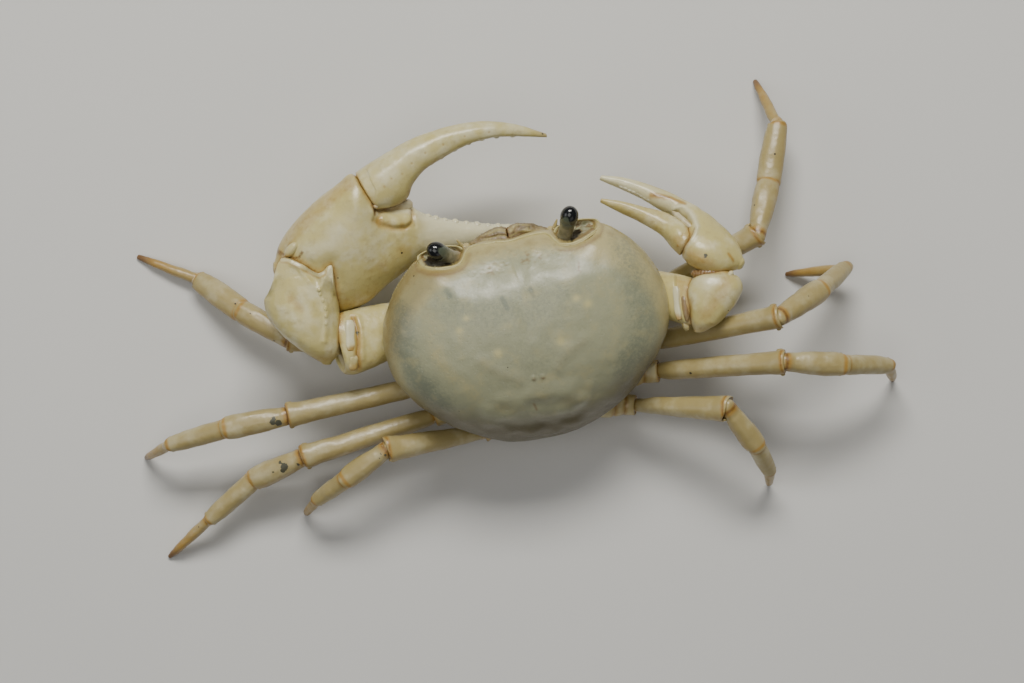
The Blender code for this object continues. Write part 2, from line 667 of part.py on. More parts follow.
def edge_teeth(place, edge, teeth, inward):
    """A row of low teeth along an edge, larger in the middle."""
    count, size = teeth
    cones = []
    for k in range(count):
        t = (k + 0.5) / count * (len(edge) - 1)
        i = min(int(t), len(edge) - 2)
        spot = Vector(edge[i]).lerp(Vector(edge[i + 1]), t - i)
        spot = Vector((spot.x, spot.y, 0.0))
        tall = size * (0.65 + 0.35 * math.sin(math.pi * (k + 0.5) / count)) * (1.0 if k % 2 else 0.75)
        point = spot + Vector((0.0, inward * tall, 0.0))
        cones.append(cone(spot - Vector((0.0, inward * 0.5, 0.0)), point, 0.55, 0.2, 6, place))
    return cones


def claw_merus(name, side, merus_end, girth, wrist_clear):
    """The stout arm of a claw, hollowed at its far end for the carpus and clear of the shield."""
    root = Vector((side * CLAW_ROOT[0], CLAW_ROOT[1], CLAW_ROOT[2]))
    end = Vector(merus_end)
    run = (end - root).length
    place = frame_between(root, end)
    stations = (
        (-OVERRUN, 1.2 * girth, 1.1 * girth), (run * 0.25, 1.9 * girth, 1.6 * girth),
        (run * 0.6, 2.5 * girth, 1.9 * girth), (run * 0.9, 2.75 * girth, 2.0 * girth),
        (run + 1.0, 2.6 * girth, 1.8 * girth), (run + 2.2, 1.8 * girth, 1.3 * girth),
    )
    bm = loft(straight_sections(stations), 16, 2.4)
    before = (root - claw_base(side)).normalized()
    bend = (before + (end - root).normalized()).normalized()
    trim_world(bm, place, root + bend * GAP / 2, -bend)
    arm = add_object(f"cheliped_{name}_merus", bm, place, CREAM, 0.4)
    combine(arm, [*wrist_clear, shell_cutter()], "DIFFERENCE")


def claw_hand(name, place, palm, finger, wrist_clear):
    """Palm with its fixed finger, and the movable finger seated in the palm's end."""
    hand = add_object(f"cheliped_{name}_propodus", loft(blade_sections(palm), 20, 2.2), place, CREAM, 0.4)
    thumb = add_object(f"cheliped_{name}_dactylus", loft(blade_sections(finger), 16, 2.2), place, CREAM, 0.4)
    spread = loft(blade_sections(finger, GAP), 16, 2.2)
    finger_clear = add_object("finger_clearance", spread, place, collection=cutters)
    combine(hand, [*wrist_clear, finger_clear], "DIFFERENCE")
    return hand, thumb


def big_clearance(place):
    """The big carpus grown by the gap, to clear what lies against it."""
    return [add_object("big_carpus_clearance", big_wrist(GAP), place, collection=cutters)]


def small_clearance(place):
    """The small carpus and its spine grown by the gap."""
    foot, tip, wide, narrow = SMALL_SPINE
    spread = add_object("small_carpus_clearance", small_wrist(GAP), place, collection=cutters)
    return [spread, cone(foot, tip, wide + GAP, narrow + GAP, 8, place)]


def claws():
    """The big left claw with its teeth, and the small right one."""
    place = frame(*BIG_CARPUS_FRAME)
    add_object("cheliped_left_carpus", big_wrist(), place, CREAM, 0.4)
    claw_merus("left", -1, BIG_MERUS_END, BIG_GIRTH, big_clearance(place))
    claw_place = frame(*BIG_CLAW_FRAME)
    hand, thumb = claw_hand("left", claw_place, BIG_PALM, BIG_FINGER, big_clearance(place))
    upper = [(row[0], row[2]) for row in BIG_PALM[11:16]]
    combine(hand, edge_teeth(claw_place, upper, PALM_TEETH, 1), "UNION")
    lower = [row[1] for row in BIG_FINGER[4:9]]
    combine(thumb, edge_teeth(claw_place, lower, FINGER_TEETH, -1), "UNION")

    place = frame(*SMALL_CARPUS_FRAME)
    wrist = add_object("cheliped_right_carpus", small_wrist(), place, CREAM, 0.4)
    combine(wrist, [cone(*SMALL_SPINE, 8, place)], "UNION")
    claw_merus("right", 1, SMALL_MERUS_END, SMALL_GIRTH, small_clearance(place))
    claw_hand("right", frame(*SMALL_CLAW_FRAME), SMALL_PALM, SMALL_FINGER, small_clearance(place))


def to_metres():
    """Bring every node to metres and stand the model over its own middle."""
    bpy.context.view_layer.update()
    low, high = Vector((1e9,) * 3), Vector((-1e9,) * 3)
    for thing in model.objects:
        for vert in thing.data.vertices:
            spot = thing.matrix_world @ vert.co
            for i in range(3):
                low[i] = min(low[i], spot[i])
                high[i] = max(high[i], spot[i])
    middle = Vector(((low.x + high.x) / 2, (low.y + high.y) / 2, 0.0))
    for thing in model.objects:
        thing.data.transform(Matrix.Scale(MM, 4))
        thing.location = (thing.location - middle) * MM
    print("middle of the footprint, millimetres:", tuple(round(c, 3) for c in middle))


start_scene()
carapace()
thorax()
pleon()
mouthparts()
feelers()
eyes()
claws()
for leg_side, leg_pair in LEG_POSES:
    walking_leg(leg_side, leg_pair)
to_metres()
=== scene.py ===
"""A cream-white freshwater crab as a still, life-size museum model: its surfaces and finishes.

The crab is drawn in millimetres in its own frame, x to its right, y forward and z up, and each
finished mesh is brought to metres in the model's frame.
"""
import math

import bmesh
import bpy
import numpy as np
from mathutils import Matrix, Vector, noise
from mathutils.bvhtree import BVHTree


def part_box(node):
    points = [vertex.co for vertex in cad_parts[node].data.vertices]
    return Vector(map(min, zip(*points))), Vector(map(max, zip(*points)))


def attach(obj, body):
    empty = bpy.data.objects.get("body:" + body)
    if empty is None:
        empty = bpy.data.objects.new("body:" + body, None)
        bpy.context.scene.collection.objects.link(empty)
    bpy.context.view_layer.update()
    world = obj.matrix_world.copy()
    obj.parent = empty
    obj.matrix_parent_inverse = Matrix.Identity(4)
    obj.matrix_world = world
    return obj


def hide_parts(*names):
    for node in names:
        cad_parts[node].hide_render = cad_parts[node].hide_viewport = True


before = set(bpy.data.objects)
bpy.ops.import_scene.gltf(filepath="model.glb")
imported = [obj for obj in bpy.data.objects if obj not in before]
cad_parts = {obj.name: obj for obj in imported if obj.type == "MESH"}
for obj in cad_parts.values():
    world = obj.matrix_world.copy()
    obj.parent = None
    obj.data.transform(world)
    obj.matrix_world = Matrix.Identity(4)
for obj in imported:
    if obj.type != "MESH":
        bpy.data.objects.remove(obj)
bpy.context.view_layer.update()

MM = 0.001
QUARTER_TURN = math.pi / 2
FULL_TURN = 2.0 * math.pi
HIGH_ABOVE = 20.0
DOWN = Vector((0.0, 0.0, -1.0))
SIDES = {"left": -1, "right": 1}

# Body, as the solids have it
BODY_HEIGHT = 11.0
BODY_PITCH = math.radians(14.0)
DOME_CENTRE_Y = 1.5
DOME_HEIGHT = 6.4
KEEL_DEPTH = 8.0
FRONT_MARGIN_Z = -0.5
REAR_MARGIN_Z = -3.0
PARTING_Z = -4.4
PARTING_SLOPE = -0.1
HALF_OUTLINE = (
    (0.0, 11.5), (2.6, 11.8), (4.4, 11.6), (7.0, 11.5), (9.7, 11.3), (11.5, 10.0), (13.2, 8.0),
    (14.6, 5.2), (15.0, 2.6), (14.7, -0.2), (13.3, -3.0), (10.8, -5.9), (7.6, -8.5), (4.2, -10.2),
    (0.0, -10.7),
)

# Walking legs by pair: lengths, girths, places of the first rings on the right side, and for each leg
# its root, then heading and rise of three segments and the heading of the last
LEG_KINDS = ("merus", "carpus", "propodus", "dactylus")
LEG_LENGTHS = {
    2: (14.0, 6.2, 6.5, 7.0), 3: (15.2, 6.6, 6.6, 6.8), 4: (14.6, 6.2, 6.7, 6.9), 5: (11.2, 5.3, 4.9, 5.4),
}
LEG_GIRTH = {2: 1.0, 3: 1.0, 4: 1.0, 5: 0.92}
HAND_GIRTH = {2: 1.28, 3: 1.0, 4: 1.0, 5: 1.0}
COXA_GIRTH = 1.55
CLAW_COXA_GIRTH = 2.3
COXA_BASE = {2: (6.6, 2.2, 5.6), 3: (6.6, -1.2, 5.6), 4: (6.2, -4.4, 5.6), 5: (4.6, -7.0, 5.6)}
LEG_POSES = {
    ("left", 2): ((-11.6, 1.9, 3.9), (16, 4), (42, -12), (46, -22), 32),
    ("left", 3): ((-11.7, -1.9, 5.2), (-1, 10), (0, -1), (-5, -16), -15),
    ("left", 4): ((-11.5, -5.3, 4.9), (-6, 5), (-13, -18), (-30, -9), -31),
    ("left", 5): ((-6.7, -8.1, 4.4), (2, 22), (-25, -9), (-24, -34), -38),
    ("right", 2): ((13.0, 2.6, 4.3), (18, 16), (64, -24), (69, -9), 100),
    ("right", 3): ((13.1, -2.2, 5.0), (0, 32), (20, -36), (26, -54), 173),
    ("right", 4): ((12.9, -5.4, 5.2), (-7, 28), (-14, -12), (-13, -37), -62),
    ("right", 5): ((9.8, -8.5, 4.7), (-13, 33), (-63, -22), (-70, -46), -90),
}
TOE_HEIGHT = 0.15
FLOOR_GAP = 0.01

# Rows along a limb piece: share of its length, offset, half thickness, half height and lift
COXA_ROWS = (
    (0, -1.0, 0.9, 0.9), (0.2, 0, 1.05, 1.05), (0.42, 0, 1.1, 1.1), (0.53, 0, 1.02, 1.02),
    (0.56, 0, 0.94, 0.95), (0.61, 0, 0.96, 0.97), (0.70, 0, 0.88, 0.91), (0.75, 0, 0.79, 0.84),
    (0.8, 0, 0.8, 0.87), (1, -0.5, 0.78, 0.88), (1, -0.05, 0.75, 0.85), (1, 0, 0.64, 0.72),
    (1, -0.4, 0.45, 0.5),
)
LEG_ROWS = {
    "merus": (
        (0, -0.5, 0.5, 0.6), (0, -0.1, 0.72, 0.86), (0, 0.4, 0.86, 1.0), (0, 1.4, 0.96, 1.18),
        (0.35, 0, 1.08, 1.38), (0.7, 0, 1.14, 1.43), (1, -2.6, 1.17, 1.42), (1, -1.4, 1.21, 1.42),
        (1, -0.6, 1.28, 1.45), (1, -0.2, 1.3, 1.44), (1, -0.04, 1.23, 1.35), (1, -0.15, 1.1, 1.18),
        (1, -0.7, 0.8, 0.85),
    ),
    "carpus": (
        (0, -0.5, 0.7, 0.8), (0, -0.1, 0.93, 1.02), (0, 0.3, 0.99, 1.08), (0, 0.9, 1.03, 1.12),
        (0, 1.7, 1.12, 1.19), (0.5, 0, 1.22, 1.27), (1, -1.5, 1.3, 1.32), (1, -0.7, 1.27, 1.29),
        (1, -0.25, 1.19, 1.22), (1, -0.04, 1.08, 1.12), (1, -0.1, 0.95, 0.98), (1, -0.5, 0.7, 0.72),
    ),
    "propodus": (
        (0, -0.5, 0.72, 0.76), (0, -0.12, 0.94, 0.98), (0, 0.15, 1.02, 1.08), (0, 0.7, 1.05, 1.12),
        (0, 1.5, 1.04, 1.12), (0.5, 0, 1.03, 1.11), (1, -1.6, 0.96, 1.04), (1, -0.7, 0.88, 0.96),
        (1, -0.22, 0.78, 0.86), (1, -0.03, 0.66, 0.72), (1, -0.15, 0.52, 0.56), (1, -0.6, 0.4, 0.42),
    ),
    "dactylus": (
        (0, -0.4, 0.4, 0.46), (0, -0.05, 0.5, 0.58), (0, 0.3, 0.56, 0.64), (0, 1.0, 0.58, 0.68, 0.02),
        (0.4, 0, 0.54, 0.62, 0.14), (0.75, 0, 0.42, 0.46, 0.14), (0.9, 0, 0.34, 0.36, 0.06),
        (1, 0, 0.25, 0.27),
    ),
}
LOBE_ROWS = (
    (0, 0, 0.75, 0.8), (0.08, 0, 0.95, 0.95), (0.5, 0, 1.0, 1.0), (0.9, 0, 0.92, 0.95), (1, 0, 0.7, 0.8),
)

# Soft plugs of the leg joints: rows of place and half sizes, and how wide and tall each joint is
PLUG_ROWS = (
    (-0.75, 0.6, 0.6), (-0.35, 0.86, 0.86), (-0.1, 0.94, 0.94), (0.0, 0.88, 0.88), (0.12, 0.92, 0.92),
    (0.4, 0.84, 0.84), (0.8, 0.6, 0.6),
)
PLUG_SIZES = ((0.82, 0.98), (1.05, 1.08), (0.9, 0.92), (0.62, 0.68))

# How far a segment's far lip leans over with its height, and points along each lower edge
LIP_LEANS = {"carpus": 0.34, "propodus": 0.2}
SPINE_COUNTS = {"propodus": 4, "dactylus": 5}

# Dark seams of the leg segments: amount at the head and at the end, and half width at the end
LEG_SEAMS = {
    "merus": (0.8, 0.7, 1.28), "carpus": (0.8, 0.3, 1.08), "propodus": (0.35, 0.55, 0.7),
    "dactylus": (0.5, 0.0, 0.0),
}

# Dirt stuck to the legs: spots with their reach, in the segment's frame
DIRT_PATCHES = {
    ("left", 3, "carpus"): ((0.9, 0.55, 0.34), (1.5, 0.35, 0.3), (1.3, 0.0, 0.22)),
    ("left", 4, "carpus"): (
        (1.9, 0.1, 0.42), (2.3, 0.4, 0.25), (2.2, -0.5, 0.18), (0.5, 0.5, 0.16), (3.3, 0.1, 0.12),
    ),
    ("left", 5, "carpus"): ((0.2, 0.4, 0.14), (0.5, 0.0, 0.1), (0.9, 0.3, 0.08)),
}

# Claws: places in the crab's frame, then frames as origin, heading, rise and roll
CLAW_BASE = (6.0, 5.6, 5.6)
CLAW_ROOT = (9.8, 5.2, 6.7)
MERUS_END = {"left": (-18.6, 4.0, 9.8), "right": (17.0, 1.3, 10.8)}
MERUS_GIRTH = {"left": 1.2, "right": 0.9}
CARPUS_FRAME = {"left": ((-21.1, 2.5, 10.4), 78.5, 5.0, 0.0), "right": ((17.8, -2.0, 11.6), 78.5, 3.0, 0.0)}
CLAW_FRAME = {"left": ((-21.5, 11.2, 9.4), 1.5, -7.0, 25.0), "right": ((22.3, 4.4, 11.9), 141.0, -8.0, 38.0)}
ARM_ROWS = (
    (0, -0.5, 0.9, 0.85), (0, 0, 1.3, 1.2), (0.12, 0, 1.6, 1.4), (0.25, 0, 1.9, 1.6), (0.6, 0, 2.5, 1.9),
    (0.9, 0, 2.75, 2.0), (1, 0.8, 2.7, 1.9), (1, 1.3, 2.5, 1.75), (1, 1.5, 2.2, 1.5), (1, 1.2, 1.8, 1.2),
)

# Rows along a claw piece: place, lower edge, upper edge, half thickness, or two edge points
CARPUS_ROWS = {
    "left": (
        (0.0, -0.4, 0.7, 0.8), (0.8, -1.1, 2.1, 2.0), (1.8, -1.4, 3.4, 2.7), (3.0, -1.4, 4.9, 3.1),
        (4.5, -1.3, 6.1, 3.3), (6.0, -1.15, 6.6, 3.3), (7.5, -1.05, 6.5, 3.15), (8.6, -1.0, 6.15, 3.0),
        (9.6, -0.95, 5.75, 2.8), (10.9, -0.9, 5.2, 2.4),
    ),
    "right": (
        (0.0, -0.6, 0.8, 0.7), (0.8, -1.9, 1.1, 1.5), (1.8, -2.8, 1.3, 1.9), (3.0, -3.7, 1.5, 2.1),
        (4.4, -4.3, 1.4, 2.1), (5.4, -4.0, 0.9, 1.8), (6.0, -3.0, -0.6, 0.9),
    ),
}
PALM_ROWS = {
    "left": (
        (-3.0, 1.2, 3.0, 1.0), (-2.2, -0.2, 4.6, 2.1), (-0.8, -1.8, 6.1, 3.0), (0.8, -3.2, 7.4, 3.5),
        (3.0, -4.0, 8.8, 3.8), (5.2, -3.7, 9.9, 3.7), (6.7, -3.0, 10.6, 3.5), (7.5, -2.5, 9.6, 3.3),
        (8.6, -1.8, 7.1, 3.0), (10.4, -0.9, 6.4, 2.5), (12.0, -0.3, 5.9, 2.0), (13.2, -0.1, 4.7, 1.7),
        (15.0, 0.0, 3.7, 1.4), (17.5, -0.1, 2.7, 1.15), (20.0, -0.2, 1.8, 0.9), (22.4, -0.3, 1.2, 0.65),
        (24.3, -0.05, 0.4, 0.3),
    ),
    "right": (
        (-0.9, -0.9, 0.3, 0.7), (0.0, -1.9, 1.3, 1.3), (1.4, -2.8, 2.2, 1.8), (3.0, -3.4, 2.6, 2.0),
        (4.4, -3.9, 2.2, 2.0), (5.3, -4.0, 1.0, 1.8), (6.3, -4.1, -1.6, 1.5), (8.0, -4.2, -2.2, 1.2),
        (10.2, -4.2, -2.3, 1.0), (12.2, -3.9, -2.4, 0.85), (14.4, -3.3, -2.2, 0.65), (16.4, -2.4, -1.9, 0.3),
    ),
}
FINGER_ROWS = {
    "left": (
        ((7.2, 10.6), (8.6, 6.4), 2.6), ((8.5, 11.2), (10.3, 6.4), 2.6), ((10.0, 11.8), (11.9, 7.1), 2.4),
        ((11.4, 12.3), (12.7, 8.4), 2.1), ((12.8, 12.8), (14.3, 9.7), 1.8),
        ((14.7, 13.2), (16.4, 10.5), 1.55),
        ((17.4, 13.5), (19.2, 11.3), 1.3), ((20.8, 13.3), (21.8, 11.4), 1.1),
        ((24.4, 12.2), (24.8, 10.8), 0.8),
        ((27.4, 10.5), (27.4, 10.1), 0.25),
    ),
    "right": (
        ((5.0, -0.3), (5.3, 1.9), 1.4), ((6.2, -1.1), (6.2, 1.6), 1.4), ((8.0, -1.55), (7.6, 0.9), 1.15),
        ((10.4, -1.0), (10.2, 0.6), 0.9), ((12.8, -0.3), (12.7, 0.7), 0.7), ((15.1, 0.5), (15.0, 0.9), 0.28),
    ),
}

# The big wrist's far end: height of its crest, and its edge as pairs of y and x
WRIST_CREST = 2.8
WRIST_START = 6.6
WRIST_EDGE = (
    (-1.4, 6.8), (-1.1, 7.5), (-0.9, 8.4), (-0.7, 9.5), (-0.5, 10.3), (-0.25, 10.15), (0.2, 9.65), (0.7, 9.4),
    (1.2, 9.55), (1.8, 9.95), (3.1, 10.6), (4.0, 11.0), (4.5, 11.0), (5.0, 10.4),
    (5.6, 9.3), (6.2, 8.2), (6.7, 7.4),
)

# Lines and spots on the claws' upper faces: path, then what is drawn, how much and how wide
ARM_MARKS = (
    (((3.0, -1.9), (6.0, -2.5), (8.6, -2.9)), ("lift", 0.14, 0.4)),
    (((8.6, -2.3), (8.75, -1.0), (9.25, 0.6), (9.6, 1.4), (9.7, 2.8)),
     ("lift", -0.18, 0.2), ("crease", 0.65, 0.17), ("amber", 0.8, 0.5)),
    (((8.1, -2.2), (8.3, -0.9), (8.8, 0.8), (9.15, 2.0)), ("lift", 0.1, 0.25)),
    (((8.8, -0.7),), ("dirt", 0.9, 0.28)),
)
WRIST_MARKS = {
    "left": (
        (((10.5, 3.5), (10.1, 2.74), (9.2, 2.08), (8.3, 1.35), (7.8, 0.8)), ("lift", 0.16, 0.3)),
        (((9.9, -0.3), (9.3, -0.05), (8.84, 0.3), (7.76, 0.6), (7.24, 0.53), (6.6, 0.22),
          (5.7, 0.0), (4.1, 0.0), (2.5, 0.2)), ("lift", 0.15, 0.3)),
        (((9.6, 1.9), (9.1, 1.2), (8.7, 0.9)), ("lift", -0.2, 0.4)),
        (((7.0, 3.6), (6.3, 2.9), (5.9, 2.7)), ("lift", -0.14, 0.6), ("amber", 0.5, 0.7)),
        # Painted highlight on the spine's tip
        (((9.7, -0.35),), ("white", 0.4, 0.5)),
    ),
    "right": (
        (((5.3, -2.5), (3.45, -1.57), (1.67, -0.25)), ("amber", 0.5, 1.1), ("lift", -0.06, 0.8)),
        (((5.75, 0.9), (5.7, -0.8), (5.9, -2.4)), ("lift", 0.09, 0.22)),
        # Painted highlight on the small wrist's upper face
        (((4.9, -0.2),), ("white", 0.4, 1.0)),
    ),
}
WRIST_BEADS = ((7.9, 0.68), (7.35, 0.58), (6.7, 0.28), (5.85, 0.03), (5.1, 0.0), (4.3, 0.0))
PALM_MARKS = {
    "left": (
        (((6.1, 8.4),), ("lift", 0.22, 1.5)),
        (((6.6, 10.5), (6.8, 9.9), (7.15, 9.2), (7.6, 8.4), (7.75, 7.7), (7.7, 7.2)), ("lift", 0.16, 0.26)),
        (((7.75, 6.3), (8.5, 5.45), (9.8, 4.7), (10.9, 4.4), (11.7, 4.7), (12.15, 5.8)),
         ("lift", -0.20, 0.22), ("crease", 0.35, 0.2), ("amber", 0.6, 0.45)),
        (((8.2, 6.1),), ("amber", 0.75, 0.5)),
        (((10.5, 4.75),), ("amber", 0.7, 0.45)),
        (((8.3, 6.75), (10.2, 6.15), (11.9, 5.65)), ("lift", 0.12, 0.17), ("white", 0.7, 0.25)),
        (((12.3, 5.9), (12.1, 5.2), (12.0, 4.3)), ("lift", -0.14, 0.2), ("crease", 0.5, 0.18)),
        (((-1.3, 4.0), (-0.7, 4.05), (-0.2, 4.6)), ("crease", 0.8, 0.22)),
    ),
    "right": (
        (((10.8, -2.6), (9.8, -2.85), (8.9, -3.05), (7.3, -3.1)), ("amber", 0.95, 0.32)),
        (((10.6, -2.62), (9.9, -2.83), (9.0, -3.02)), ("crease", 0.75, 0.13)),
        (((8.0, -2.35), (7.2, -2.7), (6.2, -2.2), (5.4, -1.25), (4.75, -0.45)),
         ("lift", 0.16, 0.2), ("white", 0.8, 0.28)),
        (((7.6, -1.9), (6.6, -1.5), (5.8, -0.7)), ("lift", -0.3, 0.35), ("amber", 0.7, 0.4)),
        (((-0.2, 0.6), (0.5, 0.5)), ("amber", 0.8, 0.22)),
    ),
}
PALM_MARKS_ALL_ROUND = {
    "left": (
        (((7.75, 7.9), (7.9, 7.3), (8.0, 6.8)), ("crease", 0.85, 0.28)),
        (((7.9, 7.4),), ("dirt", 0.9, 0.22)),
    ),
    "right": (
        (((4.65, -0.3), (4.5, 0.5), (4.55, 1.4), (5.0, 1.9)), ("lift", 0.13, 0.2), ("white", 0.6, 0.22)),
        (((4.95, -0.2), (4.8, 0.6), (4.85, 1.4)), ("crease", 0.7, 0.15)),
        (((2.5, 2.0),), ("dirt", 0.95, 0.24)),
    ),
}
FINGER_PITS = (
    (9.5, 9.6), (10.4, 10.2), (11.6, 10.4), (12.8, 11.2), (14.4, 11.9), (16.4, 12.3), (18.8, 12.6),
    (21.4, 12.4),
)
COLLAR = ((6.4, 8.0, 9.4, 10.5), (8.1, 8.31, 8.57, 8.26))
WRIST_SKIN = ((5.85, 1.0, -0.3), (5.95, 0.2, 0.3), (6.05, -0.8, 0.55), (6.05, -1.9, 0.35), (5.9, -2.7, 0.0))

# Eyes, in the body's frame: root and tip of the stalk with its cornea
EYES = {"left": ((-5.7, 10.7, 0.5), (-8.3, 12.9, 2.2)), "right": ((5.5, 10.4, 0.5), (6.9, 14.1, 2.8))}
EYESTALK_RADIUS = 0.78
EYESTALK_ROWS = (
    (0, -0.8, 1.0, 1.0), (0, 0, 1.06, 1.03), (0.35, 0, 0.98, 0.95), (0.7, 0, 0.98, 0.96),
    (1, 0.05, 1.06, 1.05), (1, 0.2, 0.9, 0.9),
)
CORNEA_RADIUS = 0.95
CORNEA_LENGTH = 1.7

# Front margin seen from above in the body's frame: both orbit rims and the brow between them
RIM_PATH = (
    (-9.5, 11.35), (-9.5, 11.1), (-9.1, 10.9), (-8.2, 10.66), (-7.0, 10.52), (-5.9, 10.5), (-5.2, 10.75),
    (-4.86, 11.1), (-4.55, 11.4), (-3.5, 11.62), (-1.8, 11.62), (0.0, 11.4), (1.9, 11.62),
    (3.4, 11.6), (4.1, 11.4), (4.5, 11.0), (4.93, 10.6), (5.6, 10.42), (7.0, 10.48), (8.4, 10.86),
    (9.2, 11.15), (9.4, 11.4),
)
LOWER_RIMS = {
    "left": (
        (-9.55, 11.25, -0.2), (-9.5, 11.55, -0.5), (-8.9, 11.8, -0.8), (-7.6, 11.88, -0.95),
        (-6.3, 11.88, -0.95), (-5.4, 11.7, -0.75), (-4.9, 11.3, -0.2),
    ),
    "right": (
        (9.45, 11.3, -0.2), (9.25, 11.6, -0.5), (8.4, 11.82, -0.8), (7.2, 11.88, -0.95), (6.0, 11.8, -0.9),
        (5.2, 11.6, -0.7), (4.75, 11.2, -0.1),
    ),
}
ORBITS = {"left": (-7.15, 11.75), "right": (6.9, 11.7)}
ORBIT_REACH = (2.45, 1.3)
ORBIT_FLOOR = -2.1

# Bowls in the orbits: middles, and holes of painted shade seen from the camera with their reach
CUP_MIDDLES = {"left": (-7.1, 11.2, -1.7), "right": (6.9, 11.2, -1.5)}
CUP_SHADE_HOLES = {
    "left": (((-8.3, 10.85), (-7.4, 10.62), (-6.6, 10.3), (-6.0, 10.2)), 0.72),
    "right": (((6.0, 10.3), (6.6, 10.5), (7.05, 10.85)), 0.4),
}
CAMERA_LEAN = 0.25
CUP_SIDES = 144

# Marks on the shield, in the body's frame
YELLOW_SPOTS = (
    (-6.8, 4.5, 0.35), (-3.4, 1.5, 0.45), (3.1, 1.4, 0.5), (5.5, 5.4, 0.4), (6.6, 4.6, 0.45),
    (-5.9, 5.6, 0.3),
)
SHIELD_COLOURS = (
    (((-12.2, 7.0), (-13.0, 3.5), (-12.1, 0.0), (-10.1, -3.2)), ("blue", 0.8, 1.6)),
    (((11.4, 8.4), (12.3, 4.0), (11.5, 0.0), (9.6, -3.2)), ("blue", 0.6, 2.2)),
    (((-8.0, 6.9), (-4.0, 6.0), (0.0, 5.4), (4.0, 5.9)), ("blue", 0.42, 3.0)),
    (((-1.9, 6.8), (-1.6, 5.8)), ("blue", 1.0, 0.34)),
    (((1.1, 7.2), (1.3, 6.5)), ("blue", 1.0, 0.32)),
    (((-7.3, 8.5), (-7.1, 8.0)), ("blue", 1.0, 0.4)),
    (((-9.6, 6.8), (-9.9, 3.2), (-8.8, 0.0), (-6.6, -2.6)), ("edge", 0.5, 1.2)),
    (((9.0, 7.2), (9.5, 3.6), (8.6, 0.0), (6.8, -2.2)), ("edge", 0.4, 1.1)),
    (((-3.0, 10.6), (-1.6, 9.9)), ("edge", 0.5, 0.8)),
    (((-10.2, 10.6), (-12.2, 9.3), (-13.9, 7.0), (-14.9, 3.0)), ("amber", 0.5, 0.9)),
    (((10.2, 10.6), (12.0, 9.4), (14.4, 6.0)), ("amber", 0.34, 0.7)),
)
SHIELD_MARKS = (
    (((-8.6, 8.0), (-4.6, 8.9), (-0.9, 9.0), (0.3, 8.5), (2.9, 9.35), (8.6, 8.6)), ("lift", 0.10, 0.9)),
    (((-5.4, 0.9), (-4.4, -0.2), (-3.1, -1.1), (-1.9, -1.7)), ("lift", -0.09, 0.75), ("stain", 0.12, 0.5)),
    (((5.5, 0.9), (4.4, 0.4), (3.2, -0.2), (2.3, -1.3)), ("lift", -0.09, 0.75), ("stain", 0.12, 0.5)),
    (((-0.85, -4.8), (-0.7, -5.5)), ("lift", -0.05, 0.12), ("stain", 0.85, 0.11)),
    (((6.5, 8.75), (6.45, 8.4), (6.3, 8.1), (6.5, 7.9)), ("stain", 1.0, 0.09)),
)
MEDIAN_GROOVE = ((-0.15, 11.6), (-0.12, 10.4), (0.1, 9.0), (0.34, 7.6))
GASTRIC_PITS = ((-0.35, -1.9), (0.6, -1.97))
BROW_SWELLINGS = ((-2.2, 9.8), (1.9, 10.0))
REAR_DIMPLES = ((-0.1, -4.1, 1.5, 0.26), (2.9, -5.4, 1.3, 0.34), (-3.6, -4.6, 1.4, 0.26))

# Underside: sutures of the breast, and tail plates as start, end, half width at both
SUTURES = (4.2, 1.0, -2.3, -5.2)
TAIL_PLATES = (
    (-9.9, -8.8, 3.2, 3.4), (-8.8, -7.2, 3.6, 3.7), (-7.2, -5.3, 3.7, 3.2), (-5.3, -3.4, 3.1, 2.6),
    (-3.4, -1.4, 2.5, 2.2), (-1.4, 0.9, 2.1, 1.8), (0.9, 3.1, 1.6, 0.6),
)

# Mouth: plate rows as height, half width and how proud; palp as side place, height and how proud
MOUTH_ROWS = (
    (-3.3, 1.25, 0.1), (-3.6, 1.6, 0.38), (-4.2, 1.78, 0.62), (-4.6, 1.8, 0.7), (-4.85, 1.78, 0.55),
    (-5.1, 1.75, 0.72), (-6.2, 1.65, 0.75), (-7.0, 1.3, 0.6),
)
MOUTH_SEAM = 4.85
PALP_ROWS = ((1.1, -3.9, 0.9), (0.7, -4.4, 1.0), (0.55, -5.2, 0.95))

# Antennules: place and half size; antenna: ends on the right side, and its first rows
FLAP_ROWS = (
    (0.08, 11.5, -1.9, 0.93), (0.6, 11.65, -1.95, 0.97), (1.7, 11.66, -2.0, 0.9), (2.8, 11.5, -2.1, 0.75),
    (3.7, 11.2, -2.15, 0.55), (4.3, 11.0, -2.1, 0.42), (4.8, 10.85, -2.0, 0.26),
)
ANTENNA_ENDS = ((4.2, 10.2, -2.3), (5.6, 12.9, -1.0))
ANTENNA_ROWS = ((0, 0, 0.72, 0.58), (0.3, 0, 0.7, 0.55), (0.42, 0, 0.62, 0.5), (0.46, 0, 0.36, 0.32))
ANTENNA_RINGS = 9

# Room: camera, floor, and lights as name, place, size, power and colour
CAMERA_SPOT = (-1.79, 0.79, 308.3)
CAMERA_TURN = math.radians(-11.5)
FLOOR_TINTS = ((0.62, 0.62, 0.60, 1.0), (0.66, 0.655, 0.63, 1.0))
LIGHT_AIM = (0.0, 0.0, 0.008)
LIGHTS = (
    ("key", (0.045, 0.24, 0.30), (0.22, 0.1), 1.5, (1.0, 0.975, 0.92)),
    ("top", (-0.06, -0.05, 0.42), (0.25, 0.25), 0.4, (1.0, 0.985, 0.95)),
    ("side", (-0.35, 0.05, 0.25), (0.2, 0.2), 0.21, (0.97, 0.98, 1.0)),
    ("fill", (0.12, -0.35, 0.25), (0.3, 0.2), 0.08, (1.0, 0.97, 0.92)),
)


# Number work

def ramp(value, low=0.0, high=1.0):
    """A soft step from 0 to 1."""
    t = np.clip((value - low) / (high - low), 0.0, 1.0)
    return t * t * (3.0 - 2.0 * t)


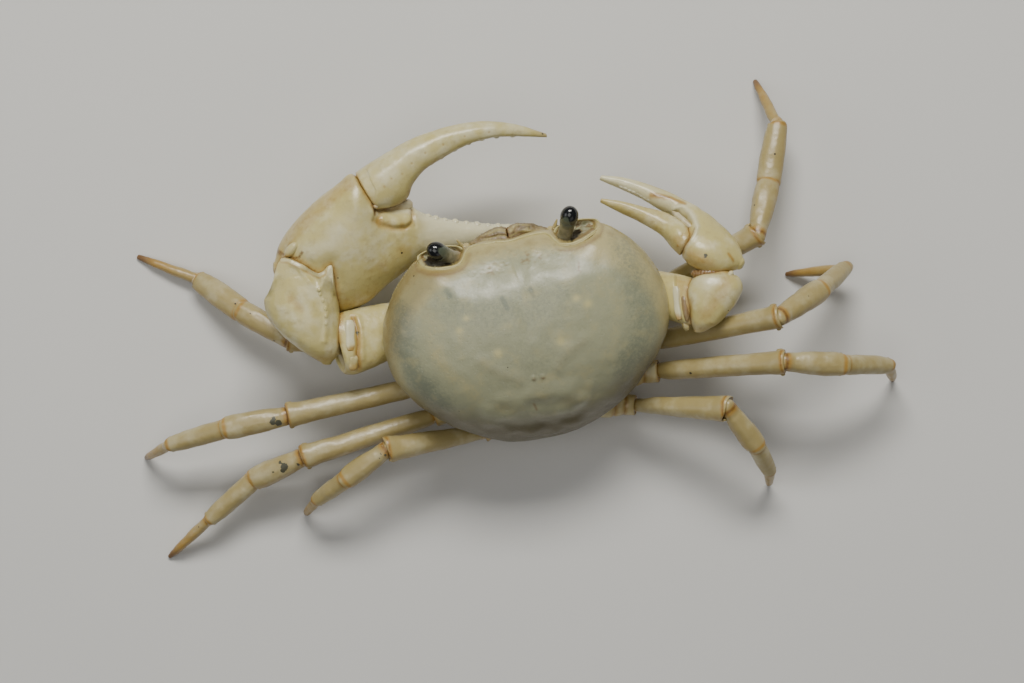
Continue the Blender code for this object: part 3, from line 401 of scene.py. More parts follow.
def bell(distance, width):
    return np.exp(-(distance / width) ** 2)


def columns(*parts):
    """Rows of coordinates from one array or number for each coordinate."""
    return np.stack(np.broadcast_arrays(*parts), -1)


def joined(t, span, first, last, slope_first, slope_last):
    """A smooth run between two values with given slopes."""
    return ((2 * t**3 - 3 * t**2 + 1) * first + (t**3 - 2 * t**2 + t) * span * slope_first
            + (-2 * t**3 + 3 * t**2) * last + (t**3 - t**2) * span * slope_last)


def smooth_rows(rows, count):
    """A smooth run of rows through a few given ones, evenly spaced along their own length."""
    rows = np.array(rows, float)
    along = np.concatenate(([0.0], np.cumsum(np.linalg.norm(np.diff(rows, axis=0), axis=1))))
    slope = np.gradient(rows, along, axis=0)
    want = np.linspace(0.0, along[-1], count)
    i = np.clip(np.searchsorted(along, want) - 1, 0, len(rows) - 2)
    span = (along[i + 1] - along[i])[:, None]
    t = (want - along[i])[:, None] / span
    return joined(t, span, rows[i], rows[i + 1], slope[i], slope[i + 1])


def path_distance(points, path):
    """Distance of each point from a spot or a path of straight steps, in the path's coordinates."""
    path = np.array(path, float)
    spots = points[:, :path.shape[1]]
    best = np.linalg.norm(spots - path[0], axis=1)
    for a, b in zip(path, path[1:]):
        run = b - a
        t = np.clip((spots - a) @ run / (run @ run), 0.0, 1.0)
        best = np.minimum(best, np.linalg.norm(spots - a - t[:, None] * run, axis=1))
    return best


def ripple(points, wavelength, seed):
    """A smooth uneven field between about -1 and 1."""
    stretch = 1.7
    spots = np.asarray(points) * (stretch / wavelength) + (seed * 7.31, seed * 3.17, seed * 5.73)
    return stretch * np.array([noise.noise(spot) for spot in spots.tolist()])


def halving(below, low, high, steps=30):
    """The place between two others where a test turns false."""
    for _ in range(steps):
        middle = (low + high) / 2
        under = below(middle)
        low = np.where(under, middle, low)
        high = np.where(under, high, middle)
    return (low + high) / 2


def placed(rows, length):
    """Rows along a piece, with their places worked out from shares of its length and offsets."""
    return [(share * length + offset, *sizes) for share, offset, *sizes in rows]


# Forms

class Form:
    """A closed surface in millimetres, with painted layers from 0 to 1."""

    def __init__(self, points, faces):
        self.points = np.array(points, float)
        self.faces = faces
        self.layers = {}

    def mesh(self, name="form"):
        made = bpy.data.meshes.new(name)
        made.from_pydata(self.points.tolist(), [], self.faces)
        return made

    def normals(self):
        made = self.mesh()
        found = np.zeros(len(self.points) * 3, np.float32)
        made.vertex_normals.foreach_get("vector", found)
        bpy.data.meshes.remove(made)
        return found.reshape(-1, 3).astype(float)

    def swell(self, amount):
        """Move the surface outwards by an amount at each point."""
        self.points += self.normals() * np.asarray(amount)[:, None]
        return self

    def paint(self, layer, amount):
        before = self.layers.get(layer, np.zeros(len(self.points)))
        self.layers[layer] = np.clip(np.maximum(before, amount), 0.0, 1.0)
        return self

    def away(self, path):
        return path_distance(self.points, path)

    def ripple(self, wavelength, seed, stretch=1.0):
        return ripple(self.points * stretch, wavelength, seed)

    def trace(self, rows, gate=1.0):
        """Paint lines and spots, and give the lift that they ask for."""
        lift = np.zeros(len(self.points))
        for path, *touches in rows:
            away = self.away(path)
            for what, amount, reach in touches:
                touch = amount * bell(away, reach) * gate
                if what == "lift":
                    lift += touch
                else:
                    self.paint(what, touch)
        return lift

    def moved(self, place):
        turn = np.array(place)
        self.points = self.points @ turn[:3, :3].T + turn[:3, 3]
        return self

    def tree(self):
        return BVHTree.FromPolygons(self.points.tolist(), self.faces)


def together(forms):
    """Several closed surfaces as one form."""
    points, faces, start = [], [], 0
    for form in forms:
        points.append(form.points)
        faces += [tuple(i + start for i in face) for face in form.faces]
        start += len(form.points)
    whole = Form(np.concatenate(points), faces)
    for layer in {layer for form in forms for layer in form.layers}:
        whole.layers[layer] = np.concatenate([f.layers.get(layer, np.zeros(len(f.points))) for f in forms])
    return whole


def skin(rings):
    """A closed surface over rings of points, with a fan at each end."""
    count, sides, _ = rings.shape
    points = np.concatenate((rings.reshape(-1, 3), [rings[0].mean(0)], [rings[-1].mean(0)]))
    start, finish, last = count * sides, count * sides + 1, (count - 1) * sides
    ring = [(k, (k + 1) % sides) for k in range(sides)]
    rows = range(0, last, sides)
    faces = [(low + k, low + n, low + sides + n, low + sides + k) for low in rows for k, n in ring]
    for k, n in ring:
        faces += [(start, n, k), (finish, last + k, last + n)]
    return Form(points, faces)


def round_off(rings, length, steps=6):
    """Add a rounded nose past the last ring."""
    centre = rings[-1].mean(0)
    way = centre - rings[-3].mean(0)
    way = way / max(np.linalg.norm(way), 1e-6) * length
    nose = []
    for angle in np.linspace(0.0, QUARTER_TURN, steps + 1)[1:]:
        share = max(math.cos(angle), 0.03)
        nose.append(centre + (rings[-1] - centre) * share + way * math.sin(angle))
    return np.concatenate((rings, nose))


def rounded(rings, first, last):
    """Rings with a rounded nose of a given length at each end."""
    return round_off(round_off(rings, last)[::-1], first)[::-1]


def rounded_skin(rings, first, last):
    return skin(rounded(rings, first, last))


def sweep(centres, across, up, sides, power=2.0):
    """Rings of a superellipse with two half axes at each centre."""
    angle = FULL_TURN * (np.arange(sides) + 0.5) / sides
    a, b = (np.sign(way) * np.abs(way) ** (2.0 / power) for way in (np.cos(angle), np.sin(angle)))
    return centres[:, None, :] + across[:, None, :] * a[None, :, None] + up[:, None, :] * b[None, :, None]


def straight_sweep(rows, count, sides, power=2.2, wide=1.0, tall=1.0):
    """Rings square to x from rows of place, half thickness, half height and lift."""
    rows = [(x, half * wide, high * tall, *lift, 0.0)[:4] for x, half, high, *lift in rows]
    x, half, high, lift = smooth_rows(rows, count).T
    return sweep(columns(x, 0.0, lift), columns(0.0, half, 0.0), columns(0.0, 0.0, high), sides, power)


def blade_sweep(rows, count, sides, power=2.2):
    """Rings of a claw piece between its lower and upper edge."""
    spread = []
    for first, *rest in rows:
        if len(rest) == 3:
            low, high, thick = rest
            spread.append((first, high, first, low, thick))
        else:
            spread.append((*first, *rest[0], rest[1]))
    ux, uy, lx, ly, thick = smooth_rows(spread, count).T
    upper, lower = columns(ux, uy, 0.0), columns(lx, ly, 0.0)
    outward = columns(0.0, 0.0, np.maximum(thick, 0.05))
    return sweep((upper + lower) / 2, (upper - lower) / 2, outward, sides, power)


def tube(path, radius, sides=10, count=120):
    """A rod of round section along a smooth path, tapered to its ends."""
    line = smooth_rows(path, count)
    run = np.gradient(line, axis=0)
    run /= np.linalg.norm(run, axis=1)[:, None]
    side = np.cross(run, (0.0, 0.0, 1.0))
    side /= np.linalg.norm(side, axis=1)[:, None]
    share = np.linspace(0.0, 1.0, count)
    width = radius * np.clip(np.minimum(share, 1.0 - share) * 12.0, 0.15, 1.0) ** 0.5
    return skin(sweep(line, side * width[:, None], np.cross(side, run) * width[:, None], sides))


def pebble(centre, half, sides=16, rings=10):
    """A small rounded knob with three half sizes."""
    angle = np.linspace(-QUARTER_TURN * 0.97, QUARTER_TURN * 0.97, rings)
    wide, high = np.cos(angle), np.sin(angle)
    centres = columns(0.0, 0.0, high * half[2])
    form = skin(sweep(centres, columns(wide * half[0], 0.0, 0.0), columns(0.0, wide * half[1], 0.0), sides))
    return form.moved(Matrix.Translation(centre))


def knob(start, end, thick, tall=None):
    """A rounded lobe lying between two places of a claw's frame."""
    start, end = Vector(start), Vector(end)
    run = end - start
    turn = Vector((0.0, 0.0, 1.0)).rotation_difference(run).to_matrix().to_4x4()
    lobe = pebble((0.0, 0.0, 0.0), (thick, tall or thick, run.length / 2), 24, 22)
    return lobe.moved(Matrix.Translation((start + end) / 2) @ turn)


def block_lobe(start, end, wide, tall):
    """A flat-topped lobe with rounded corners between two places of a claw's frame."""
    start, run = Vector(start), Vector(end) - Vector(start)
    across = Vector((0.0, 0.0, 1.0)).cross(run).normalized()
    rise = run.normalized().cross(across)
    turn = Matrix((run.normalized(), across, rise)).transposed().to_4x4()
    rings = straight_sweep(placed(LOBE_ROWS, run.length), 40, 40, 3.4, wide, tall)
    return rounded_skin(rings, wide * 0.3, wide * 0.3).moved(Matrix.Translation(start) @ turn)


def frame_at(origin, heading, rise, roll=0.0):
    """x runs along the piece, y is its left or upper edge, z is its outer face."""
    turns = ((heading, "Z"), (-rise, "Y"), (roll, "X"))
    turn, lift, tip = (Matrix.Rotation(math.radians(angle), 4, axis) for angle, axis in turns)
    return Matrix.Translation(Vector(origin)) @ turn @ lift @ tip


def frame_between(start, end):
    run = end - start
    heading = math.degrees(math.atan2(run.y, run.x))
    return frame_at(start, heading, math.degrees(math.atan2(run.z, math.hypot(run.x, run.y))))


def on_side(spot, side):
    """A place of the right side, brought to the given side of the crab."""
    return Vector((side * spot[0], spot[1], spot[2]))


def grain_tree():
    """Sow a small dome on every point, with the half sizes and the way that the point carries."""
    tree = bpy.data.node_groups.new("sown_grains", "GeometryNodeTree")
    tree.interface.new_socket("Points", in_out="INPUT", socket_type="NodeSocketGeometry")
    finish = tree.interface.new_socket("Finish", in_out="INPUT", socket_type="NodeSocketMaterial")
    tree.interface.new_socket("Grains", in_out="OUTPUT", socket_type="NodeSocketGeometry")
    entry, leave, dome, aim, sow, real, paint, way, half = (tree.nodes.new(kind) for kind in (
        "NodeGroupInput", "NodeGroupOutput", "GeometryNodeMeshUVSphere", "FunctionNodeAlignRotationToVector",
        "GeometryNodeInstanceOnPoints", "GeometryNodeRealizeInstances", "GeometryNodeSetMaterial",
        "GeometryNodeInputNamedAttribute", "GeometryNodeInputNamedAttribute",
    ))
    dome.inputs["Segments"].default_value = 12
    dome.inputs["Rings"].default_value = 8
    for carried, key in ((way, "way"), (half, "half")):
        carried.data_type = "FLOAT_VECTOR"
        carried.inputs["Name"].default_value = key
    aim.axis = "Z"
    for start, out, end, into in (
        (entry, "Points", sow, "Points"), (dome, "Mesh", sow, "Instance"), (way, "Attribute", aim, "Vector"),
        (aim, "Rotation", sow, "Rotation"), (half, "Attribute", sow, "Scale"),
        (sow, "Instances", real, "Geometry"), (real, "Geometry", paint, "Geometry"),
        (entry, "Finish", paint, "Material"), (paint, "Geometry", leave, "Grains"),
    ):
        tree.links.new(start.outputs[out], end.inputs[into])
    return tree, finish.identifier


def sown(spots, ways, halves, slot):
    """Small domes on given places, each pointing its own way, as one form."""
    tree, finish = GRAINS
    mesh = bpy.data.meshes.new("seeds")
    mesh.from_pydata(np.asarray(spots).tolist(), [], [])
    for key, values in (("way", ways), ("half", halves)):
        flat = np.ascontiguousarray(values, np.float32).ravel()
        mesh.attributes.new(key, "FLOAT_VECTOR", "POINT").data.foreach_set("vector", flat)
    thing = placed_object("seeds", mesh)
    step = thing.modifiers.new("sow", "NODES")
    step.node_group = tree
    step[finish] = FINISHES[slot]
    grown = bpy.data.meshes.new_from_object(thing.evaluated_get(bpy.context.evaluated_depsgraph_get()))
    points = np.zeros(len(grown.vertices) * 3, np.float32)
    grown.vertices.foreach_get("co", points)
    form = Form(points.reshape(-1, 3), [tuple(face.vertices) for face in grown.polygons])
    thing.modifiers.clear()
    bpy.data.objects.remove(thing)
    bpy.data.meshes.remove(grown)
    bpy.data.meshes.remove(mesh)
    return form


# Body surface

def outline_radius(azimuth):
    """Distance from the dome's centre to the carapace margin."""
    x, y = np.array(HALF_OUTLINE).T
    turn, reach = np.arctan2(x, y - DOME_CENTRE_Y), np.hypot(x, y - DOME_CENTRE_Y)
    slope = np.zeros(len(turn))
    slope[1:-1] = (reach[2:] - reach[:-2]) / (turn[2:] - turn[:-2])
    want = np.abs(azimuth)
    i = np.clip(np.searchsorted(turn, want) - 1, 0, len(turn) - 2)
    span = turn[i + 1] - turn[i]
    t = np.clip((want - turn[i]) / span, 0.0, 1.0)
    return joined(t, span, reach[i], reach[i + 1], slope[i], slope[i + 1])


def shell_surface(azimuth, elevation):
    """Points of the whole body's surface, in the body's frame."""
    front = np.maximum(np.cos(azimuth), 0.0) ** 2
    rear = np.maximum(-np.cos(azimuth), 0.0) ** 2
    upper = elevation >= 0.0
    power = np.where(upper, 2.5 - 0.45 * front - 0.1 * rear, 1.4 + 0.15 * front)
    height = np.where(upper, DOME_HEIGHT, KEEL_DEPTH)
    share = np.abs(np.cos(elevation)) ** (2.0 / power)
    rise = np.sign(elevation) * np.abs(np.sin(elevation)) ** (2.0 / power)
    reach = share * outline_radius(azimuth)
    z = (FRONT_MARGIN_Z * front + REAR_MARGIN_Z * rear) * share**2 + rise * height
    return np.stack((reach * np.sin(azimuth), DOME_CENTRE_Y + reach * np.cos(azimuth), z), -1)


def body_place():
    return Matrix.Translation((0.0, 0.0, BODY_HEIGHT)) @ Matrix.Rotation(BODY_PITCH, 4, "X")


def parting_height(y):
    return PARTING_Z + PARTING_SLOPE * y


def parting_elevation(azimuth, shift):
    """Elevation at which the body's surface meets the seam under the carapace."""
    def below(elevation):
        spot = shell_surface(azimuth, elevation)
        return spot[..., 2] < parting_height(spot[..., 1]) + shift
    return halving(below, np.full(azimuth.shape, -QUARTER_TURN), np.zeros(azimuth.shape))


def belly_depth(y):
    """Height of the underside on the middle line."""
    azimuth = math.pi if y < DOME_CENTRE_Y else 0.0
    reach = abs(y - DOME_CENTRE_Y)

    def nearer(elevation):
        return abs(shell_surface(azimuth, elevation)[1] - DOME_CENTRE_Y) < reach
    return float(shell_surface(azimuth, halving(nearer, -QUARTER_TURN, 0.0))[2])


def face_point(x, z):
    """The face below the front margin at a side place and a height."""
    y = 9.0
    for _ in range(10):
        azimuth = math.atan2(x, y - DOME_CENTRE_Y)
        elevation = halving(lambda e: shell_surface(azimuth, e)[2] < z, -QUARTER_TURN, 0.0)
        y = float(shell_surface(azimuth, elevation)[1])
    return np.array((x, y, z))


# Materials

class Wire:
    """A socket of a material's nodes, on which the usual operators add Math nodes."""

    def __init__(self, recipe, socket):
        self.recipe = recipe
        self.socket = socket

    def maths(self, operation, first, second):
        return self.recipe.node("ShaderNodeMath", {"operation": operation}, {0: first, 1: second})

    def __add__(self, other):
        return self.maths("ADD", self, other)

    def __sub__(self, other):
        return self.maths("SUBTRACT", self, other)

    def __rsub__(self, other):
        return self.maths("SUBTRACT", other, self)

    def __mul__(self, other):
        return self.maths("MULTIPLY", self, other)

    __radd__ = __add__
    __rmul__ = __mul__


class Recipe:
    """A material and the nodes that its finish is made of."""

    def __init__(self, name):
        self.material = bpy.data.materials.new(name)
        self.material.use_nodes = True
        self.links = self.material.node_tree.links
        self.nodes = self.material.node_tree.nodes
        self.shader = self.nodes["Principled BSDF"]
        where = self.node("ShaderNodeTexCoord", out="Object")
        self.place = self.node("ShaderNodeVectorMath", {"operation": "SCALE"}, {0: where, "Scale": 1.0 / MM})

    def node(self, kind, settings=None, inputs=None, out=0):
        made = self.nodes.new(kind)
        for key, value in (settings or {}).items():
            setattr(made, key, value)
        for key, value in (inputs or {}).items():
            self.feed(made.inputs[key], value)
        return Wire(self, made.outputs[out])

    def feed(self, socket, value):
        if isinstance(value, Wire):
            self.links.new(value.socket, socket)
        else:
            socket.default_value = value

    def layer(self, name):
        return self.node("ShaderNodeAttribute", {"attribute_name": name}, out="Fac")

    def noise(self, size, detail=3.0, roughness=0.55):
        """Uneven cloud of a size in millimetres."""
        inputs = {"Vector": self.place, "Scale": 1.0 / size, "Detail": detail, "Roughness": roughness}
        return self.node("ShaderNodeTexNoise", None, inputs)

    def cells(self, size, out=0):
        """Distance to scattered points, or their random colour, with cells of a size in millimetres."""
        inputs = {"Vector": self.place, "Scale": 1.0 / size}
        return self.node("ShaderNodeTexVoronoi", {"feature": "F1"}, inputs, out)

    def ease(self, value, low, high, stop=1.0):
        settings = {"interpolation_type": "SMOOTHSTEP"}
        return self.node("ShaderNodeMapRange", settings, {0: value, 1: low, 2: high, 3: 0.0, 4: stop})

    def mix(self, first, second, share):
        return self.node("ShaderNodeMix", {"data_type": "RGBA"}, {0: share, 6: first, 7: second}, out=2)

    def coats(self, tint, *coats):
        """A colour under others, each with the share that it covers."""
        for cover, share in coats:
            tint = self.mix(tint, cover, share)
        return tint

    def specks(self, size, radius, share):
        """Sparse dark grains: a mask of small spots, of which a share is kept."""
        random = self.node("ShaderNodeSeparateColor", None, {0: self.cells(size, "Color")})
        reach = (random - (1.0 - share)) * (radius / size / share)
        return self.ease((reach - self.cells(size)) * (size / 0.03), 0.0, 1.0)

    def set(self, **values):
        """Settings of the shader by socket name, written with underscores."""
        for key, value in values.items():
            self.feed(self.shader.inputs[key.replace("_", " ")], value)

    def flesh(self, weight, scale, coat):
        """Light that sinks a little way into the shell, under a wet gloss."""
        self.set(Subsurface_Weight=weight, Subsurface_Radius=(1.0, 0.85, 0.6), Subsurface_Scale=scale * MM,
                 Coat_Roughness=0.27, IOR=1.5, Coat_Weight=coat)

    def bump(self, height, strength, distance):
        """Relief of a height in millimetres. It is the finish's last touch."""
        inputs = {"Height": height, "Strength": strength, "Distance": distance * MM}
        self.set(Normal=self.node("ShaderNodeBump", None, inputs))
        return self.material


def colour(red, green, blue):
    return (red, green, blue, 1.0)


GREY_WHITE = colour(0.335, 0.34, 0.212)
CREAM = colour(0.50, 0.43, 0.20)
SOFT_CREAM = colour(0.50, 0.40, 0.215)
LIMB_CREAM = colour(0.555, 0.48, 0.19)
RIM_CREAM = colour(0.53, 0.455, 0.18)
PORCELAIN = colour(0.70, 0.67, 0.46)
YELLOW_SPOT = colour(0.58, 0.52, 0.24)
LEG_YELLOW = colour(0.375, 0.300, 0.122)
BLUE_GREY = colour(0.190, 0.210, 0.148)
# Olive of the shield's rear, also laid on as painted shade
REAR_OLIVE_AND_SHADE = colour(0.115, 0.092, 0.04)
OCHRE = colour(0.25, 0.165, 0.035)
AMBER = colour(0.37, 0.205, 0.03)
DEEP_AMBER = colour(0.16, 0.07, 0.012)
HORN = colour(0.17, 0.085, 0.025)
BROWN = colour(0.24, 0.155, 0.07)
FLAP_BROWN = colour(0.14, 0.108, 0.055)
FLAP_TAN = colour(0.25, 0.195, 0.10)
STALK_DARK = colour(0.15, 0.14, 0.08)
STALK_PALE = colour(0.25, 0.23, 0.14)
STALK_TIP = colour(0.075, 0.09, 0.06)
TONGUE = colour(0.075, 0.09, 0.062)
EYE_BLACK = colour(0.004, 0.004, 0.004)
EYE_GREY = colour(0.010, 0.012, 0.013)
MOSS_DIRT = colour(0.055, 0.058, 0.038)
DIRT = colour(0.03, 0.024, 0.016)
# Near-black painted shade for the holes under the orbit rims
PAINTED_HOLE_SHADE = colour(0.018, 0.012, 0.006)


def shell_finish():
    """Back shield: milky grey-green centre, cream rim, bluish flesh below, amber round the orbits."""
    r = Recipe("carapace_cuticle")
    cloud = r.noise(3.2, 3.0)
    mottle = r.noise(0.9, 4.0, 0.6)
    grain = r.noise(0.22, 2.0)
    net = r.noise(0.36, 3.0, 0.7)
    tint = r.coats(
        GREY_WHITE,
        (CREAM, r.ease(r.layer("edge") + (cloud - 0.5) * 0.4 + (net - 0.5) * 0.9, 0.2, 1.0, 0.85)),
        (BLUE_GREY, r.ease(r.layer("blue") + (cloud - 0.5) * 0.5 + (net - 0.5) * 1.25, 0.1, 1.0, 0.9)),
        (BLUE_GREY, r.ease(mottle, 0.50, 0.75, 0.2)),
        (CREAM, r.ease(r.noise(1.7, 2.0), 0.50, 0.75, 0.3)),
        (PORCELAIN, r.ease(net + (mottle - 0.5) * 0.4, 0.62, 0.8, 0.3)),
        # Rear layer: the rear's own olive, deepened as painted shade at the rear, the left margin and the
        # dimples
        (REAR_OLIVE_AND_SHADE, r.ease(r.layer("rear") + (cloud - 0.5) * 0.25, 0.05, 1.0, 0.92)),
        (YELLOW_SPOT, r.layer("yellow") * 0.75),
        (PORCELAIN, r.layer("white") * 0.7),
        (OCHRE, r.ease(r.layer("amber") + (mottle - 0.5) * 0.5, 0.12, 0.9, 0.9)),
        (r.mix(BROWN, DEEP_AMBER, 0.45), r.layer("stain") * (0.4 + grain * 0.8)),
        (RIM_CREAM, r.layer("bead") * 0.8),
        # Painted shade: the deep layer's near-black holes under the orbit rims
        (PAINTED_HOLE_SHADE, r.layer("deep")),
        (DIRT, r.specks(1.9, 0.13, 0.3)),
    )
    r.set(Base_Color=tint, Roughness=0.44 + (mottle - 0.5) * 0.3 + (grain - 0.5) * 0.3)
    r.flesh(0.12, 0.6, 0.3)
    pits = r.ease(r.cells(0.42), 0.08, 0.3)
    return r.bump(cloud * 1.1 + mottle * 0.35 + grain * 0.25 + net * 0.2 + pits * 0.2, 0.5, 0.13)


def limb_finish(name, body, gloss, pale):
    """Claw and leg cuticle: cream, browner at joints and edges, porcelain fingers, horn tips."""
    r = Recipe(name)
    cloud = r.noise(2.4, 3.0)
    mottle = r.noise(0.7, 4.0, 0.6)
    grain = r.noise(0.2, 2.0)
    tint = r.coats(
        body,
        (PORCELAIN, r.ease(cloud, 0.44, 0.7, pale)),
        (LEG_YELLOW, r.ease(mottle, 0.48, 0.8, 0.5)),
        (PORCELAIN, r.layer("white")),
        (AMBER, r.ease(r.layer("amber") + (mottle - 0.5) * 0.5, 0.1, 0.95, 0.85)),
        (DEEP_AMBER, r.ease(r.layer("crease") + (grain - 0.5) * 0.5, 0.3, 1.0)),
        (HORN, r.layer("horn")),
        (MOSS_DIRT, r.ease(r.layer("dirt") + (r.noise(0.22, 3.0) - 0.5) * 1.1, 0.42, 0.6, 0.95)),
        (BROWN, r.ease(r.noise(0.45, 4.0, 0.7) + r.layer("crease") * 0.2, 0.68, 0.8, 0.5)),
        (DIRT, r.specks(1.7, 0.17, 0.45)),
    )
    r.set(Base_Color=tint, Roughness=gloss + (mottle - 0.5) * 0.25 + (grain - 0.5) * 0.15)
    r.flesh(0.15, 0.45, 0.35)
    pits = r.ease(r.cells(0.36), 0.06, 0.26)
    return r.bump(cloud * 0.9 + mottle * 0.6 + grain * 0.16 + pits * 0.14, 0.5, 0.14)


def underside_finish():
    """Belly, limb bases and mouth plates: cream with amber seams."""
    r = Recipe("underside_cuticle")
    cloud = r.noise(2.0, 3.0)
    mottle = r.noise(0.6, 4.0, 0.6)
    tint = r.coats(
        CREAM,
        (PORCELAIN, r.ease(cloud, 0.4, 0.8, 0.5)),
        (AMBER, r.ease(r.layer("amber") * (0.5 + mottle), 0.05, 1.0, 0.85)),
        (DEEP_AMBER, r.ease(r.layer("crease") * (0.5 + mottle), 0.3, 1.0, 0.9)),
        (DIRT, r.specks(1.2, 0.09, 0.45)),
    )
    r.set(Base_Color=tint, Roughness=0.42 + (mottle - 0.5) * 0.3)
    r.flesh(0.15, 0.5, 0.25)
    return r.bump(cloud + mottle * 0.6, 0.5, 0.12)


def membrane_finish():
    """Soft skin of the joints: glossy, amber, finely creased; brown and duller where it is shaded."""
    r = Recipe("joint_membrane")
    cloud = r.noise(0.9, 3.0)
    fine = r.noise(0.25, 3.0, 0.6)
    shade = r.layer("shade")
    tint = r.coats(
        SOFT_CREAM,
        (AMBER, r.ease(cloud, 0.4, 0.75, 0.8)),
        (DEEP_AMBER, r.ease(fine, 0.52, 0.75, 0.5)),
        (r.mix(FLAP_BROWN, FLAP_TAN, r.ease(cloud, 0.4, 0.6)), shade),
        (RIM_CREAM, r.layer("bead") * (0.5 + fine)),
        (PORCELAIN, r.layer("white") * (0.4 + fine)),
        (DEEP_AMBER, r.layer("crease")),
        (DIRT, r.specks(1.1, 0.12, 0.4)),
    )
    r.set(Base_Color=tint, Roughness=0.24 + fine * 0.18 + shade * 0.22)
    r.flesh(0.07, 0.3, 0.5 - shade * 0.35)
    return r.bump(cloud + fine * 0.7, 0.6, 0.08)


def stalk_finish():
    r = Recipe("eyestalk_skin")
    cloud = r.noise(0.7, 3.0)
    fine = r.noise(0.18, 3.0)
    tint = r.coats(
        STALK_DARK,
        (STALK_PALE, r.ease(cloud, 0.35, 0.65)),
        (AMBER, r.layer("amber") * 0.55),
        (STALK_TIP, r.layer("tip")),
    )
    r.set(Base_Color=tint, Roughness=0.32 + (fine - 0.5) * 0.2)
    r.flesh(0.35, 0.9, 0.4)
    return r.bump(cloud + fine * 0.4, 0.45, 0.06)


def cornea_finish():
    """Black facetted cornea, with the stalk's grey-green tongue running on over its top."""
    r = Recipe("cornea_black")
    facets = r.cells(0.07)
    cloud = r.noise(0.5, 2.0)
    tongue = r.layer("tongue")
    tint = r.coats(EYE_BLACK, (EYE_GREY, cloud), (TONGUE, r.ease(tongue + (cloud - 0.5) * 0.15, 0.1, 0.9)))
    r.set(Base_Color=tint, Roughness=0.14 + tongue * 0.16 + cloud * 0.05)
    r.set(Coat_Weight=0.4, Coat_Roughness=0.08, IOR=1.5)
    return r.bump(facets, 0.12, 0.02)


GRAINS = grain_tree()
FINISHES = {
    "shell": shell_finish(),
    "underside": underside_finish(),
    "claw": limb_finish("claw_cuticle", LIMB_CREAM, 0.34, 0.55),
    "leg": limb_finish("leg_cuticle", LEG_YELLOW, 0.40, 0.28),
    "membrane": membrane_finish(),
    "eyestalk": stalk_finish(),
    "cornea": cornea_finish(),
}


# Pieces

def placed_object(name, data):
    thing = bpy.data.objects.new(name, data)
    bpy.context.scene.collection.objects.link(thing)
    return thing


def home():
    """The crab's own origin in the frame, from the carapace's middle and its rear edge."""
    low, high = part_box("carapace")
    azimuth, elevation = np.meshgrid(np.linspace(2.6, math.pi, 80), np.linspace(-0.5, 0.5, 121))
    spots = Form(shell_surface(azimuth, elevation).reshape(-1, 3), []).moved(body_place()).points
    return np.array(((low.x + high.x) / 2 / MM, low.y / MM - spots[:, 1].min(), 0.0))


HOME = home()


def piece(name, form, slot, *nodes):
    """A finished piece of the crab, standing for its solids."""
    form.points = (form.points + HOME) * MM
    mesh = form.mesh(name)
    for layer, values in form.layers.items():
        mesh.attributes.new(layer, "FLOAT", "POINT").data.foreach_set("value", values.astype(np.float32))
    bm = bmesh.new()
    bm.from_mesh(mesh)
    bmesh.ops.recalc_face_normals(bm, faces=bm.faces)
    bm.to_mesh(mesh)
    bm.free()
    mesh.shade_smooth()
    mesh.materials.append(FINISHES[slot])
    thing = placed_object(name, mesh)
    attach(thing, "root")
    if nodes:
        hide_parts(*nodes)


# Carapace

def carapace_fields(form):
    """Grooves, swellings, pits and colours of the back shield, in the body's frame."""
    x, y, z = form.points.T
    top = ramp(z, -0.5, 1.5)
    lift = 0.055 * form.ripple(6.0, 3) + 0.022 * form.ripple(2.0, 4) + form.trace(SHIELD_MARKS)
    lift -= 0.075 * bell(form.away(MEDIAN_GROOVE), 0.24) * ramp(y, 7.2, 9.2)
    rough = form.ripple(0.8, 11, (1.0, 2.2, 1.0))
    fine = form.ripple(0.38, 12, (1.0, 1.6, 1.0))
    for cx, cy in BROW_SWELLINGS:
        near = np.hypot((x - cx) / 1.9, (y - cy) / 0.7)
        lift += 0.12 * bell(near, 1.0) + (0.016 * rough + 0.008 * fine) * bell(near, 1.1)
        form.paint("amber", 0.6 * bell(near, 0.9) * ramp(rough, -1.2, 1.2))
        form.paint("stain", 0.55 * bell(near, 1.0) * ramp(rough, 0.3, 0.8))
    for px, py in GASTRIC_PITS:
        lift -= 0.16 * bell(np.hypot((x - px) / 1.5, y - py), 0.16)
        form.paint("stain", 0.9 * bell(np.hypot((x - px) / 1.4, y - py + 0.12), 0.14))
    folds = np.sin(y * 2.3 + 0.55 * np.sin(x * 0.8 + 0.7)) * bell(x - 0.6, 4.2)
    lift += (0.13 * folds + 0.11 * form.ripple(2.8, 8)) * ramp(-y, 2.2, 5.5) * top
    for cx, cy, reach, depth in REAR_DIMPLES:
        dimple = depth * bell(np.hypot((x - cx) / 1.7, y - cy), reach)
        lift -= dimple
        # Painted shade in the rear dimples
        form.paint("rear", 1.6 * dimple)
    lift += 0.006 * ramp(y, 7.0, 10.5) * top * form.ripple(0.6, 21)
    form.swell(lift)

    share = np.hypot(x / 15.0, (y - 0.4) / 11.4)
    form.trace(SHIELD_COLOURS)
    form.paint("edge", 0.95 * ramp(share, 0.80, 0.98)).paint("edge", 0.7 * ramp(y, 9.3, 10.8))
    form.paint("blue", 0.3 * bell(np.hypot(x / 5.0, y / 3.0), 1.2))
    # Rear and its lower slope darker, partly its own olive and partly painted shade; painted shade along the
    # left margin
    form.paint("rear", ramp(-y, -2.0, 6.2) * ramp(-z, -6.0, -1.8))
    form.paint("rear", 0.5 * ramp(share, 0.84, 1.0) * ramp(-x, 3.0, 9.0))
    for px, py, reach in YELLOW_SPOTS:
        form.paint("yellow", bell(np.hypot(x - px, y - py), reach))
    for (cx, cy), amount in zip(ORBITS.values(), (0.75, 0.55)):
        form.paint("amber", amount * ramp(-np.hypot((x - cx) / 3.6, (y - cy) / 2.2), -1.25, -0.6))
    form.paint("amber", 0.4 * ramp(-z, -0.2, 2.5))
    form.paint("amber", 0.42 * ramp(y, 9.9, 11.4) * ramp(-np.abs(x), -6.0, -4.5))


